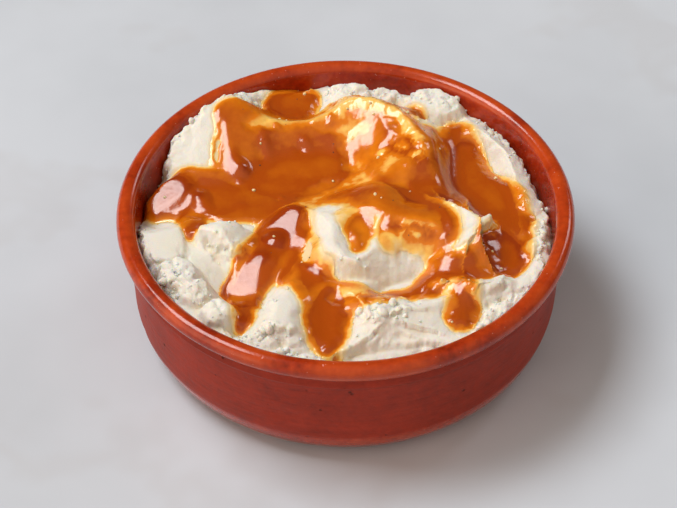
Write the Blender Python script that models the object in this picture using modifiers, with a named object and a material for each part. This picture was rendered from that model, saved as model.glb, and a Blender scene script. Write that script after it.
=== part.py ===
"""Mashed potato with gravy, served in a small terracotta tapas dish.

Run with: blender --background --python part.py
The dish stands on the origin with its base on Z = 0. All sizes below are in millimetres and are
turned into metres as the meshes are made. +X is the right side and -Y the front of the helping.
"""

from math import cos, radians, sin

import bmesh
import bpy
import numpy as np

MM = 0.001

# Terracotta dish, turned on a wheel.
DISH_RADIUS = 72.5
DISH_HEIGHT = 46.5
RIM_BEAD_RADIUS = 3.0
NECK_RADIUS = 69.2
NECK_HEIGHT = 40.0
SHOULDER_RADIUS = 70.3
SHOULDER_HEIGHT = 36.8
BAND_RADIUS = 69.0
BAND_HEIGHT = 35.2
WALL_RADIUS = 68.7
FOOT_RADIUS = 58.0
FOOT_CURVE_HEIGHT = 16.0
INNER_TOP_RADIUS = 66.0
INNER_LOW_RADIUS = 64.5
INNER_CURVE_RADIUS = 10.0
FLOOR_THICKNESS = 5.0
TURN_STEPS = 64

# Mash and gravy.
CELL = 3.8
SHEET_HALF = 68.4
TOUCH_GAP = 0.3
HIGHEST = 60.0
THINNEST_GRAVY = 0.9
FILM = 1.1
FILM_EDGE = 3.0
LEAST_REACH = 0.5
BLEND = 1.2
CREST_WIDENING = 2.2

# The body of the mash slopes up a little to the front, and pulls away from the wall in places:
# (angle from +X in degrees, spread in degrees, width of the gap in mm).
BODY_HEIGHT = 39.6
BODY_SLOPE_Y = -0.028
WALL_FALL = 2.6
WALL_GAP_DEPTH = 13.0
GAPS = [(15, 26, 3.4), (163, 13, 5.0), (204, 16, 2.6)]

# Ridges left by the spoon: crest points (x, y, z), fall per mm on the left and on the right of the
# line, and the roundness of the crest.
RIDGES = {
    "back left mound": ([(-60, 19, 40), (-57, 28, 43), (-52.5, 37, 47), (-45, 45, 50),
                         (-37, 49, 50.6), (-29, 49.5, 49.2), (-25, 47, 47.6), (-21, 44, 46)],
                        1.8, 0.34, 1.0),
    "swirl": ([(-30, 36, 44.4), (-24, 39.5, 46.6), (-17, 42, 48), (-8, 43, 50), (0, 44.5, 51.6),
               (8, 43.5, 52.2), (14, 39.5, 52.6), (19, 33, 52.8), (23, 25, 52.6), (25, 17, 51.4),
               (25, 9, 48.8)], 1.15, 0.43, 1.8),
    "pool lip": ([(-11.5, 2, 46.5), (-9.5, 9, 46.2), (-3, 13, 46.4), (5, 14.5, 47.2),
                  (10, 19, 48.4), (13, 24, 50)], 1.8, 0.45, 0.8),
    "curl": ([(29, 0, 48.5), (35, -6, 51.6), (40, -13, 52.6), (39.5, -19, 50.3), (35, -24, 46.5)],
             2.4, 0.5, 0.8),
    "right back rim": ([(41, 42, 43.6), (45, 33, 45.6), (47.5, 24, 47), (49, 16, 46.4),
                        (53, 9, 44.6), (58, 3, 42.4)], 0.62, 0.72, 0.5),
    "front right crumb": ([(29, -33, 44.5), (34, -34.5, 46), (40, -35.5, 46.6), (48, -32, 45)],
                          1.3, 1.1, 0.8),
    "front crumb": ([(-3, -44, 45.6), (4, -47, 47), (10, -48.5, 47.4), (15, -47, 47.2),
                     (18, -44, 46.5), (21, -40, 45)], 0.30, 0.95, 0.6),
    "front right facet": ([(19, -42, 45.8), (27, -41.5, 45.4), (31, -40, 44.6)], 0.7, 0.8, 0.5),
}

# Lumps: centre (x, y), half sizes, turn in degrees, height of the top, slope of the top along X
# and Y, doming, and fall per mm outside the outline.
LUMPS = {
    "slab of the swirl": ((5, 31), (4.2, 11.5), -8, 47.8, (0.24, 0.32), 0.2, 1.8),
    "glossy knob": ((17, 21), (5.0, 5.5), 0, 50.6, (0.1, 0.05), 1.4, 1.0),
    "lower lobe": ((3, -9), (15.0, 18.5), -8, 50.6, (0.05, -0.07), 2.2, 1.9),
    "lower lobe right": ((20, -15), (12, 11), 0, 50.8, (0.0, -0.1), 1.4, 1.7),
    "hump beside the pool": ((-27, 33), (4.5, 5.0), 0, 44.6, (0, 0), 1.5, 0.8),
    "back lump": ((1, 57.5), (7.2, 4.0), 0, 45.2, (0, 0), 1.2, 1.8),
    "small back lump": ((14, 57), (5.5, 3.0), 0, 43.4, (0, 0), 1.0, 1.8),
    "back right lump": ((30, 51.5), (8.8, 6.0), -28, 46.0, (0, 0), 1.2, 1.6),
    "left lump": ((-58, -13), (7.0, 12.5), 14, 43.0, (-0.05, 0.04), 0.5, 1.7),
    "rough lump": ((-49.5, -31), (8.5, 5.4), -48, 44.6, (0, 0), 1.6, 1.7),
    "round front lump": ((-38.5, -44.5), (4.8, 4.8), 0, 44.6, (0, 0), 2.0, 1.9),
    "bright lump": ((-37, -13), (8.8, 5.2), -14, 46.8, (0.04, 0.05), 1.2, 2.4),
    "front block": ((-19.5, -42), (8.5, 13), 8, 45.6, (-0.06, -0.22), 1.0, 1.6),
    "right edge lump": ((61.5, -7), (2.8, 3.8), 0, 42.6, (0, 0), 1.0, 2.0),
    "second edge lump": ((60.5, -15.5), (3.0, 3.6), 0, 42.8, (0, 0), 1.0, 2.0),
    "right front strip": ((55, -29), (3.4, 11), -30, 42.0, (0.1, 0), 0.4, 1.3),
    "right front edge": ((46, -45), (11, 4), 40, 42.6, (0, 0), 1.0, 1.3),
    "front edge": ((12, -62.5), (24, 2.4), 4, 40.6, (0, 0), 0.6, 1.2),
    "front left edge": ((-27, -56), (13, 4.0), -24, 42.6, (0, 0), 0.8, 1.4),
}

# Hollows: the same values, with the bottom for the top and the rise per mm for the fall.
HOLLOWS = {
    "swirl pool": ((-15, 19), (17, 10), 18, 40.0, (0.0, 0.04), 0.6, 0.52),
    "left pool": ((-45, 7), (13, 8), 4, 39.6, (0.04, 0.0), 0.4, 0.8),
    "left shore": ((-58, 9), (10, 10), 10, 37.4, (0.2, 0.16), 0.2, 1.0),
    "right pool": ((44, 8), (10, 26), 12, 39.6, (0, 0), 0.6, 0.9),
    "shaded pool": ((46, -15), (8, 11), 20, 38.6, (0, 0), 0.8, 0.8),
    "valley below the swirl": ((26, 4), (6, 5), -15, 45.6, (0, 0), 0.5, 0.6),
    "back pool": ((-17, 53), (8.5, 7), 10, 40.4, (0, 0), 0.5, 0.9),
    "spooned band": ((-44, -23), (5.4, 11), 30, 38.6, (-0.20, 0.36), 0.2, 1.2),
    "stream head": ((-19, -8), (8, 8), 0, 41.4, (0.2, 0.22), 0.2, 0.9),
    "stream bed": ((-24, -24), (6.5, 18), -30, 39.4, (0.10, 0.12), 0.2, 0.9),
    "tongue bed": ((-32, -42), (3.2, 9), -5, 38.6, (0, 0.05), 0.2, 1.0),
    "front stream bed": ((-5, -47), (5.0, 12), 0, 40.6, (0, 0.08), 0.2, 1.0),
    "dimple": ((4.0, -16), (3.0, 6.5), -6, 47.4, (0, 0.04), 0.5, 0.6),
    "second dimple": ((13, -17.5), (2.8, 4.0), 10, 48.2, (0, 0), 0.5, 0.6),
    "front spooned face": ((13, -59.5), (17, 2.6), 8, 38.6, (0, 0.3), 0.2, 1.2),
    "channel bed": ((24, -31), (14, 4), 12, 41.0, (0, 0), 0.6, 0.8),
}

# Where the gravy lies: strokes of (x, y, half width), and the bare patches cut out of them.
GRAVY_STROKES = {
    "back left slope": [(-36, 39, 7), (-34, 32, 7), (-33, 24, 7)],
    "mound foot": [(-41, 29, 2.2), (-40, 24, 3.5)],
    "back left brim": [(-37, 41, 5), (-30, 42, 5.5), (-22, 44, 5)],
    "back pool": [(-22, 46, 5), (-19, 53, 8), (-17, 57, 8)],
    "hump": [(-30, 34, 5), (-22, 36, 6)],
    "swirl pool": [(-26, 24, 10), (-14, 27, 12), (-4, 24, 12), (-4, 16, 9)],
    "swirl pool front": [(-30, 12, 12), (-18, 8, 12), (-8, 12, 8)],
    "left pool": [(-60, 9, 7), (-50, 11, 9.5), (-38, 9, 11), (-28, 8, 11)],
    "left tongue": [(-49, 4, 5), (-48.5, -4, 4), (-48, -8, 3)],
    "swirl crest": [(-26, 40, 3), (-18, 42, 4), (-8, 42, 6), (0, 43, 6), (10, 43, 6)],
    "back tongue": [(-4, 48, 3), (4, 48.5, 4), (14, 47, 5), (22, 45, 4.5)],
    "swirl right": [(12, 38, 7), (18, 32, 8), (22, 24, 8), (24, 14, 8), (26, 4, 8)],
    "swirl inside": [(8, 30, 7), (10, 20, 6), (14, 12, 6)],
    "lobe top": [(-3, 6, 6), (6, 3, 8), (16, -1, 9), (26, -6, 9), (34, -13, 7)],
    "lobe sheet": [(5, -6, 5), (12, -12, 7), (21, -13, 7), (30, -17, 5)],
    "lobe dimple": [(2, -10, 6), (4, -20, 3.8)],
    "second dimple": [(13, -14, 4), (13, -19.5, 3.0)],
    "right pool": [(36.5, 37, 6), (36.5, 28, 8.5), (38.5, 17, 9.5), (45, 5, 13), (48, -4, 11.5),
                   (46.5, -16, 11), (42, -22, 7)],
    "right pool left": [(28, 36, 3), (30, 26, 6), (31, 12, 7), (35, 2, 8)],
    "shaded channel": [(40, -23, 6), (29, -28, 6.5), (20, -31.5, 6), (12, -35, 4.5),
                       (0, -37, 4.5)],
    "channel shore": [(26, -33, 5), (25, -36, 3.5)],
    "diagonal stream": [(-19, -4, 8), (-21, -13, 8.5), (-27, -22, 7.5), (-31.5, -30, 6.5),
                        (-31, -38, 4.2), (-31, -46, 3.4)],
    "front stream": [(-15, -14, 5), (-13, -26, 8), (-8, -34, 8), (-6, -42, 7), (-6, -52, 6.5),
                     (-5, -57, 4.2)],
    "front shelf": [(-2, -38, 5), (5, -40.5, 3.5), (14, -39, 2.5)],
    "lobe end": [(-13, 0, 3), (-14, -12, 4)],
    "front right drip": [(36, -30, 4), (36, -37, 4), (35, -42, 5), (34, -47, 4.5)],
}
BARE_PATCHES = {
    "lobe end": [(-7, -5, 1.0), (-6, -10, 2.2), (-5, -15, 3.0), (-3, -22, 4.2)],
    "lobe face": [(0, -28, 4), (8, -29.5, 4.2), (16, -27.5, 4), (22, -24.5, 2.4)],
}


def turned(name, profile, steps, collection):
    """A solid of revolution about Z; the profile (radius, height) runs down its outer side."""
    mesh = bpy.data.meshes.new(name)
    points = [(radius * MM, 0, height * MM) for radius, height in profile]
    mesh.from_pydata(points, [(i, i + 1) for i in range(len(points) - 1)], [])
    obj = bpy.data.objects.new(name, mesh)
    collection.objects.link(obj)
    screw = obj.modifiers.new("Turn", "SCREW")
    screw.steps = steps
    screw.render_steps = steps
    screw.use_merge_vertices = True
    screw.merge_threshold = 0.00001
    screw.use_normal_calculate = True
    return obj


def arc(centre, radii, start, end, steps):
    """Points (radius, height) along an arc of an ellipse, from start to end in degrees."""
    return [
        (centre[0] + radii[0] * cos(radians(start + (end - start) * i / steps)),
         centre[1] + radii[1] * sin(radians(start + (end - start) * i / steps)))
        for i in range(steps + 1)
    ]


def inner_profile(gap):
    """The inside of the dish from the bead down to the floor's centre, drawn in by the gap."""
    curve_top = FLOOR_THICKNESS + INNER_CURVE_RADIUS
    centre = (INNER_LOW_RADIUS - INNER_CURVE_RADIUS, curve_top)
    radius = INNER_CURVE_RADIUS - gap
    return ([(INNER_TOP_RADIUS - gap, NECK_HEIGHT)]
            + arc(centre, (radius, radius), 0, -90, 3)
            + [(0, FLOOR_THICKNESS + gap)])


def make_dish(collection):
    bead = (DISH_RADIUS - RIM_BEAD_RADIUS, DISH_HEIGHT - RIM_BEAD_RADIUS)
    bead_radii = (RIM_BEAD_RADIUS, RIM_BEAD_RADIUS)
    foot_width = WALL_RADIUS - FOOT_RADIUS
    outside = (
        arc(bead, bead_radii, 90, -60, 5)
        + [(NECK_RADIUS, NECK_HEIGHT), (SHOULDER_RADIUS, SHOULDER_HEIGHT),
           (BAND_RADIUS, BAND_HEIGHT)]
        + arc((FOOT_RADIUS, FOOT_CURVE_HEIGHT), (foot_width, FOOT_CURVE_HEIGHT), 0, -90, 3)
        + [(0, 0)]
    )
    inside = arc(bead, bead_radii, 90, 180, 3)[1:] + inner_profile(0)
    return turned("dish", list(reversed(inside)) + outside, TURN_STEPS, collection)


def smooth_max(a, b, blend):
    return 0.5 * (a + b + np.sqrt((a - b) ** 2 + blend ** 2))


def smooth_min(a, b, blend):
    return -smooth_max(-a, -b, blend)


def mound(x, y, centre, half, turn, top, slope, dome, fall):
    """Height of a rounded lump with a sloping top and flanks that fall away outside its outline."""
    along, across = x - centre[0], y - centre[1]
    u = (along * cos(radians(turn)) + across * sin(radians(turn))) / half[0]
    v = (across * cos(radians(turn)) - along * sin(radians(turn))) / half[1]
    out = np.hypot(u, v)
    flank = fall * np.hypot(along, across) * (1 - 1 / np.maximum(out, 1))
    return top + slope[0] * along + slope[1] * across - dome * np.minimum(out, 1) ** 2 - flank


def ridge(x, y, crest, left_fall, right_fall, roundness):
    """Height of a ridge that follows the crest points."""
    height = np.full(np.shape(x), -1000.0)
    for (x0, y0, z0), (x1, y1, z1) in zip(crest, crest[1:]):
        run_x, run_y = x1 - x0, y1 - y0
        along = ((x - x0) * run_x + (y - y0) * run_y) / (run_x ** 2 + run_y ** 2)
        along = np.clip(along, 0, 1)
        away_x, away_y = x - x0 - along * run_x, y - y0 - along * run_y
        width = roundness + CREST_WIDENING
        away = np.sqrt(away_x ** 2 + away_y ** 2 + width ** 2) - width
        left = run_x * away_y - run_y * away_x > 0
        fall = np.where(left, left_fall, right_fall)
        height = np.maximum(height, z0 + along * (z1 - z0) - fall * away)
    return height


def wall_side(x, y):
    """Radius out to which the mash keeps its height before it drops to the wall."""
    angle = np.degrees(np.arctan2(y, x))
    radius = np.full(np.shape(x), INNER_TOP_RADIUS + 1.0)
    for at, spread, width in GAPS:
        turn = (angle - at + 180) % 360 - 180
        radius = radius - (width + 1.0) * np.exp(-(turn / spread) ** 2)
    return radius


def mash_height(x, y):
    """Height of the top of the mash, in mm."""
    height = BODY_HEIGHT + BODY_SLOPE_Y * y
    for values in RIDGES.values():
        height = smooth_max(height, ridge(x, y, *values), BLEND)
    for values in LUMPS.values():
        height = smooth_max(height, mound(x, y, *values), BLEND)
    for centre, half, turn, bottom, slope, dome, rise in HOLLOWS.values():
        bowl = mound(x, y, centre, half, turn, -bottom, (-slope[0], -slope[1]), -dome, rise)
        height = smooth_min(height, -bowl, BLEND)
    past_edge = np.clip(np.hypot(x, y) - wall_side(x, y), 0, WALL_GAP_DEPTH / WALL_FALL)
    return height - WALL_FALL * past_edge


def reach_of(x, y, strokes):
    """Distance inside the edge of a family of strokes, negative outside them."""
    reach = np.full(np.shape(x), -1000.0)
    for points in strokes.values():
        for (x0, y0, w0), (x1, y1, w1) in zip(points, points[1:]):
            run_x, run_y = x1 - x0, y1 - y0
            along = ((x - x0) * run_x + (y - y0) * run_y) / (run_x ** 2 + run_y ** 2)
            along = np.clip(along, 0, 1)
            away = np.hypot(x - x0 - along * run_x, y - y0 - along * run_y)
            reach = smooth_max(reach, w0 + along * (w1 - w0) - away, 1.0)
    return reach


def gravy_reach(x, y):
    return np.minimum(reach_of(x, y, GRAVY_STROKES), -reach_of(x, y, BARE_PATCHES))


def blurred(height, passes):
    """A square grid of heights, averaged with its neighbours."""
    for _ in range(passes):
        edge = np.pad(height, 1, mode="edge")
        across = (edge[:-2] + 2 * edge[1:-1] + edge[2:]) / 4
        height = (across[:, :-2] + 2 * across[:, 1:-1] + across[:, 2:]) / 4
    return height


def flat_sheet():
    """A triangulated square sheet over the dish, with its points in rows along X."""
    count = round(2 * SHEET_HALF / CELL)
    sheet = bmesh.new()
    bmesh.ops.create_grid(sheet, x_segments=count, y_segments=count, size=SHEET_HALF * MM)
    bmesh.ops.triangulate(sheet, faces=sheet.faces, quad_method="FIXED")
    sheet.verts.ensure_lookup_table()
    return sheet, count + 1


def places(sheet):
    """The x and y of a sheet's points, in mm."""
    return (np.array([vert.co.x for vert in sheet.verts]) / MM,
            np.array([vert.co.y for vert in sheet.verts]) / MM)


def thicken(sheet, upper, lower):
    """Closes a sheet into a solid between two height functions of its points, in metres."""
    before = list(sheet.verts)
    heights = {vert: (upper(vert), lower(vert)) for vert in before}
    made = bmesh.ops.extrude_face_region(sheet, geom=sheet.faces[:])
    tops = [item for item in made["geom"] if isinstance(item, bmesh.types.BMVert)]
    spot = {(round(v.co.x, 7), round(v.co.y, 7)): heights[v] for v in before}
    for vert in tops:
        vert.co.z = spot[(round(vert.co.x, 7), round(vert.co.y, 7))][0]
    for vert in before:
        vert.co.z = heights[vert][1]
    bmesh.ops.recalc_face_normals(sheet, faces=sheet.faces)


def cut_to_reach(sheet, reach):
    """Cuts the sheet along the line where the reach is nought and keeps the inside."""
    clear = np.where(reach > 0, np.maximum(reach, LEAST_REACH), np.minimum(reach, -LEAST_REACH))
    values = dict(zip(sheet.verts, clear.tolist()))
    for edge in list(sheet.edges):
        a, b = edge.verts
        if values[a] * values[b] < 0:
            share = values[a] / (values[a] - values[b])
            _, vert = bmesh.utils.edge_split(edge, a, share)
            values[vert] = 0.0
    for face in list(sheet.faces):
        ends = [vert for vert in face.verts if values[vert] == 0.0]
        if len(ends) == 2:
            bmesh.utils.face_split(face, *ends)
    outside = [face for face in sheet.faces if sum(values[vert] for vert in face.verts) < 0]
    bmesh.ops.delete(sheet, geom=outside, context="FACES")
    bmesh.ops.triangulate(sheet, faces=sheet.faces, quad_method="FIXED")


def finish_object(sheet, name, collection):
    mesh = bpy.data.meshes.new(name)
    sheet.to_mesh(mesh)
    sheet.free()
    obj = bpy.data.objects.new(name, mesh)
    collection.objects.link(obj)
    return obj


def make_mash(collection, inside):
    """The mash, with its modelled top, filling the dish down to its floor."""
    sheet, _ = flat_sheet()
    tops = dict(zip(sheet.verts, mash_height(*places(sheet)) * MM))
    thicken(sheet, tops.get, lambda vert: 0.0)
    obj = finish_object(sheet, "mashed_potato", collection)
    keep_inside(obj, inside)
    return obj


def make_gravy(collection, inside):
    """The poured gravy, one skin that lies on the mash and fills its hollows."""
    sheet, across = flat_sheet()
    x, y = places(sheet)
    order = np.lexsort((np.round(x, 3), np.round(y, 3)))
    mash = mash_height(x, y)
    soft = np.empty_like(mash)
    soft[order] = blurred(mash[order].reshape(across, across), 1).ravel()
    reach = gravy_reach(x, y)
    film = FILM * np.sqrt(1 - (1 - np.clip(reach / FILM_EDGE, 0, 1)) ** 2)
    lower = mash + TOUCH_GAP
    upper = np.maximum(soft + film, lower + THINNEST_GRAVY)
    for vert, height in zip(sheet.verts, lower):
        vert.co.z = height * MM
    thickness = dict(zip(sheet.verts, (upper - lower) * MM))
    cut_to_reach(sheet, reach)
    uppers = {v: v.co.z + thickness.get(v, THINNEST_GRAVY * MM) for v in sheet.verts}
    lowers = {v: v.co.z for v in sheet.verts}
    thicken(sheet, uppers.get, lowers.get)
    obj = finish_object(sheet, "gravy", collection)
    keep_inside(obj, inside)
    return obj


def keep_inside(obj, inside):
    """Trims a filling to the inside of the dish."""
    trim = obj.modifiers.new("Keep inside the dish", "BOOLEAN")
    trim.operation = "INTERSECT"
    trim.solver = "EXACT"
    trim.object = inside


def material(name, colour, roughness):
    made = bpy.data.materials.new(name)
    made.use_nodes = True
    shader = made.node_tree.nodes["Principled BSDF"]
    shader.inputs["Base Color"].default_value = (*colour, 1.0)
    shader.inputs["Roughness"].default_value = roughness
    made.diffuse_color = (*colour, 1.0)
    return made


def main():
    for obj in list(bpy.data.objects):
        bpy.data.objects.remove(obj, do_unlink=True)
    model = bpy.data.collections.new("mashed potato side")
    cutters = bpy.data.collections.new("cutters")
    for collection in (model, cutters):
        bpy.context.scene.collection.children.link(collection)

    profile = [(0, HIGHEST), (INNER_TOP_RADIUS - TOUCH_GAP, HIGHEST)] + inner_profile(TOUCH_GAP)
    inside = turned("inside of the dish", profile, TURN_STEPS, cutters)
    inside.hide_render = True
    inside.display_type = "WIRE"

    dish = make_dish(model)
    mash = make_mash(model, inside)
    gravy = make_gravy(model, inside)
    dish.data.materials.append(material("terracotta", (0.22, 0.045, 0.025), 0.45))
    mash.data.materials.append(material("mashed potato", (0.80, 0.72, 0.56), 0.5))
    gravy.data.materials.append(material("gravy", (0.42, 0.13, 0.01), 0.12))


main()
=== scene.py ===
"""Mashed potato and gravy in a terracotta tapas dish: the looks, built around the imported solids.

Sizes of the helping are in millimetres, as in the solids' own source, and become metres when the
meshes are made. +X is the right of the helping, -Y its front and +Z up.
"""

from functools import lru_cache
from math import cos, pi, radians, sin

import bpy
import numpy as np
from bpy.props import FloatProperty, FloatVectorProperty, IntProperty, PointerProperty
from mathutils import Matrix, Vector, noise


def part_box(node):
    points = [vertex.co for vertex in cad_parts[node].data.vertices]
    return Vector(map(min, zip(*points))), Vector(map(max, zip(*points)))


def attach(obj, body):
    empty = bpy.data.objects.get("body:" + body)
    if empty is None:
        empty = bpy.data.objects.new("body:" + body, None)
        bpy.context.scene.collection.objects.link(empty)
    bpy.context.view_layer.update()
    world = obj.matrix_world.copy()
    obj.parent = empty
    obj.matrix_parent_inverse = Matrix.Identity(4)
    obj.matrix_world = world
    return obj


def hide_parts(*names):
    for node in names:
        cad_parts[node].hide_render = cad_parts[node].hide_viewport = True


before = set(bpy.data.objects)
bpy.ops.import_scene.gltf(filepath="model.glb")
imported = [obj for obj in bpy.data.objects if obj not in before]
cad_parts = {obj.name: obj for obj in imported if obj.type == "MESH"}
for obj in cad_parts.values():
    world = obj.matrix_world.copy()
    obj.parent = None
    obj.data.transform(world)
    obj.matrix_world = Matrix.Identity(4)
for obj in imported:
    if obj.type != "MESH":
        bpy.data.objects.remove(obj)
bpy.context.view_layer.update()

bl_info = {
    "name": "Mashed Potato Side",
    "version": (1, 0, 0),
    "blender": (4, 5, 0),
    "location": "3D View > Sidebar > Potato Side",
    "description": "Builds a terracotta dish of mashed potato and gravy around its solids",
    "category": "Add Mesh",
}

MM = 0.001
DISH_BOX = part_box("dish")
DISH_RADIUS = DISH_BOX[1][0] / MM
DISH_HEIGHT = DISH_BOX[1][2] / MM

# The dish's profile, in mm.
RIM_BEAD_RADIUS = 3.0
NECK_RADIUS = 69.2
NECK_HEIGHT = 40.0
SHOULDER_RADIUS = 70.3
SHOULDER_HEIGHT = 36.8
WALL_RADIUS = 68.7
FOOT_RADIUS = 58.0
FOOT_CURVE_HEIGHT = 16.0
INNER_TOP_RADIUS = 66.0
OUTER_SKIN_RADIUS = 66.5
RIM_SKIN_RADIUS = 66.8
INNER_LOW_RADIUS = 64.5
INNER_CURVE_RADIUS = 10.0
FLOOR_THICKNESS = 5.0

# Dents and pits in the outside: angle from +X in degrees, height, spread and depth in mm.
DENTS = [(-107, 20, 2.4, 0.7), (-104, 21.5, 1.6, 0.35), (-128, 38, 1.0, 0.35),
         (-138, 33, 0.9, 0.3), (-118, 32, 0.8, 0.25), (-70, 15, 1.0, 0.3),
         (-92, 31, 0.8, 0.2), (-55, 24, 0.9, 0.3), (40, 22, 2.0, 0.5), (110, 17, 1.6, 0.4),
         (170, 26, 1.2, 0.35), (-160, 12, 1.4, 0.35), (75, 30, 1.0, 0.3)]

# The body of the mash: height, slope to the back, and the gaps at the wall as
# (angle from +X in degrees, spread in degrees, width of the gap in mm).
BODY_HEIGHT = 39.6
BODY_SLOPE_Y = -0.028
WALL_FALL = 2.6
WALL_GAP_DEPTH = 13.0
ROLL_HEIGHT = 42.0
ROLL_RADIUS = 66.2
ROLL_SLOPE = 2.4
GAPS = [(15, 26, 3.4), (163, 13, 5.0), (204, 16, 2.6)]
BLEND = 0.7
MASH_CLEARANCE = 0.3

# Ridges left by the spoon: crest points (x, y, z), fall per mm on the left and on the right of the
# line, and the roundness of the crest.
RIDGES = {
    "back left mound": ([(-60, 19, 40), (-57, 28, 43), (-52.5, 37, 47), (-45, 45, 50),
                         (-37, 49, 50.6), (-29, 49.5, 49.2), (-25, 47, 47.6), (-21, 44, 46)],
                        1.8, 0.34, 1.0),
    "swirl": ([(-30, 36, 44.4), (-24, 39.5, 46.6), (-17, 42, 48), (-8, 43, 50), (0, 44.5, 51.6),
               (8, 43.5, 52.2), (14, 39.5, 52.6), (19, 33, 52.8), (23, 25, 52.6), (25, 17, 51.4),
               (25, 9, 48.8)], 1.15, 0.43, 1.8),
    "pool lip": ([(-11.5, 2, 46.5), (-9.5, 9, 46.2), (-3, 13, 46.4), (5, 14.5, 47.2),
                  (10, 19, 48.4), (13, 24, 50)], 1.8, 0.45, 0.8),
    "curl": ([(28.5, 0, 47.8), (33.5, -5, 50.4), (37.5, -12.5, 51.4), (37, -18, 49.6),
              (33.5, -22.5, 46.5)], 4.2, 0.6, 0.7),
    "right back rim": ([(41, 42, 43.6), (45, 33, 45.6), (47.5, 24, 47), (49, 16, 46.4),
                        (53, 9, 44.6), (58, 3, 42.4)], 0.62, 0.72, 0.5),
    "front right crumb": ([(29, -33, 44.5), (34, -34.5, 46), (40, -35.5, 46.6), (48, -32, 45)],
                          1.3, 1.1, 0.8),
    "front crumb": ([(-3, -44, 45.6), (4, -47, 47), (10, -48.5, 47.4), (15, -47, 47.2),
                     (18, -44, 46.5), (21, -40, 45), (23, -37.5, 42)], 0.30, 0.95, 0.6),
    "front right facet": ([(19, -42, 45.8), (27, -41.5, 45.4), (31, -40, 44.6)], 0.7, 0.8, 0.5),
    "left crease": ([(-65, -11, 43.2), (-60, -7.5, 44.2), (-55, -3.5, 43.6)], 0.55, 0.6, 0.5),
    "front block crest": ([(-27, -29, 43.5), (-27, -34, 45.6), (-26.5, -42, 45.2),
                           (-25, -50, 43.6)], 0.34, 1.6, 0.8),
}

# Lumps: centre (x, y), half sizes, turn in degrees, height of the top, slope of the top along X
# and Y, doming, and fall per mm outside the outline.
LUMPS = {
    "slab of the swirl": ((5, 31), (4.2, 11.5), -8, 47.8, (0.24, 0.32), 0.2, 1.8),
    "glossy knob": ((17, 21), (5.0, 5.5), 0, 50.6, (0.1, 0.05), 1.4, 1.0),
    "lower lobe": ((3, -9), (15.0, 18.5), -8, 50.6, (0.05, -0.07), 2.2, 1.9),
    "lower lobe right": ((20, -15), (12, 11), 0, 50.8, (0.0, -0.1), 1.4, 1.7),
    "hump beside the pool": ((-27, 33), (4.5, 5.0), 0, 44.6, (0, 0), 1.5, 0.8),
    "back lump": ((1, 57.5), (7.2, 4.0), 0, 45.2, (0, 0), 1.2, 1.8),
    "small back lump": ((14, 57), (5.5, 3.0), 0, 43.4, (0, 0), 1.0, 1.8),
    "back right lump": ((30, 51.5), (8.8, 6.0), -28, 46.0, (0, 0), 1.2, 1.6),
    "left lump": ((-58, -13), (7.0, 12.5), 14, 43.0, (-0.05, 0.04), 0.5, 1.7),
    "rough lump": ((-51.5, -28), (5.6, 5.2), -48, 45.2, (0, 0), 1.4, 2.0),
    "rough lump end": ((-46, -35.5), (5.0, 4.6), -40, 45.0, (0, 0), 1.6, 2.2),
    "round front lump": ((-38.5, -44.5), (4.6, 4.6), 0, 45.8, (0, 0), 2.2, 2.6),
    "bright lump": ((-37, -13), (8.8, 5.2), -14, 46.8, (0.04, 0.05), 1.2, 2.4),
    "front block": ((-19.5, -42), (8.5, 13), 8, 45.6, (-0.06, -0.22), 1.0, 1.6),
    "right edge lump": ((61, -7), (2.6, 3.4), 0, 43.6, (0, 0), 1.4, 2.4),
    "second edge lump": ((59.8, -15.5), (3.0, 3.4), 0, 44.0, (0, 0), 1.4, 2.4),
    "right front strip": ((55, -29), (3.4, 11), -30, 42.0, (0.1, 0), 0.4, 1.3),
    "right front edge": ((46, -45), (11, 4), 40, 42.6, (0, 0), 1.0, 1.3),
    "front edge": ((12, -62.5), (24, 2.4), 4, 40.6, (0, 0), 0.6, 1.2),
    "front left edge": ((-27, -56), (13, 4.0), -24, 42.6, (0, 0), 0.8, 1.4),
    "spike": ((43.6, -7.2), (3.0, 1.6), 40, 46.6, (0, 0), 1.0, 2.6),
}

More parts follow.
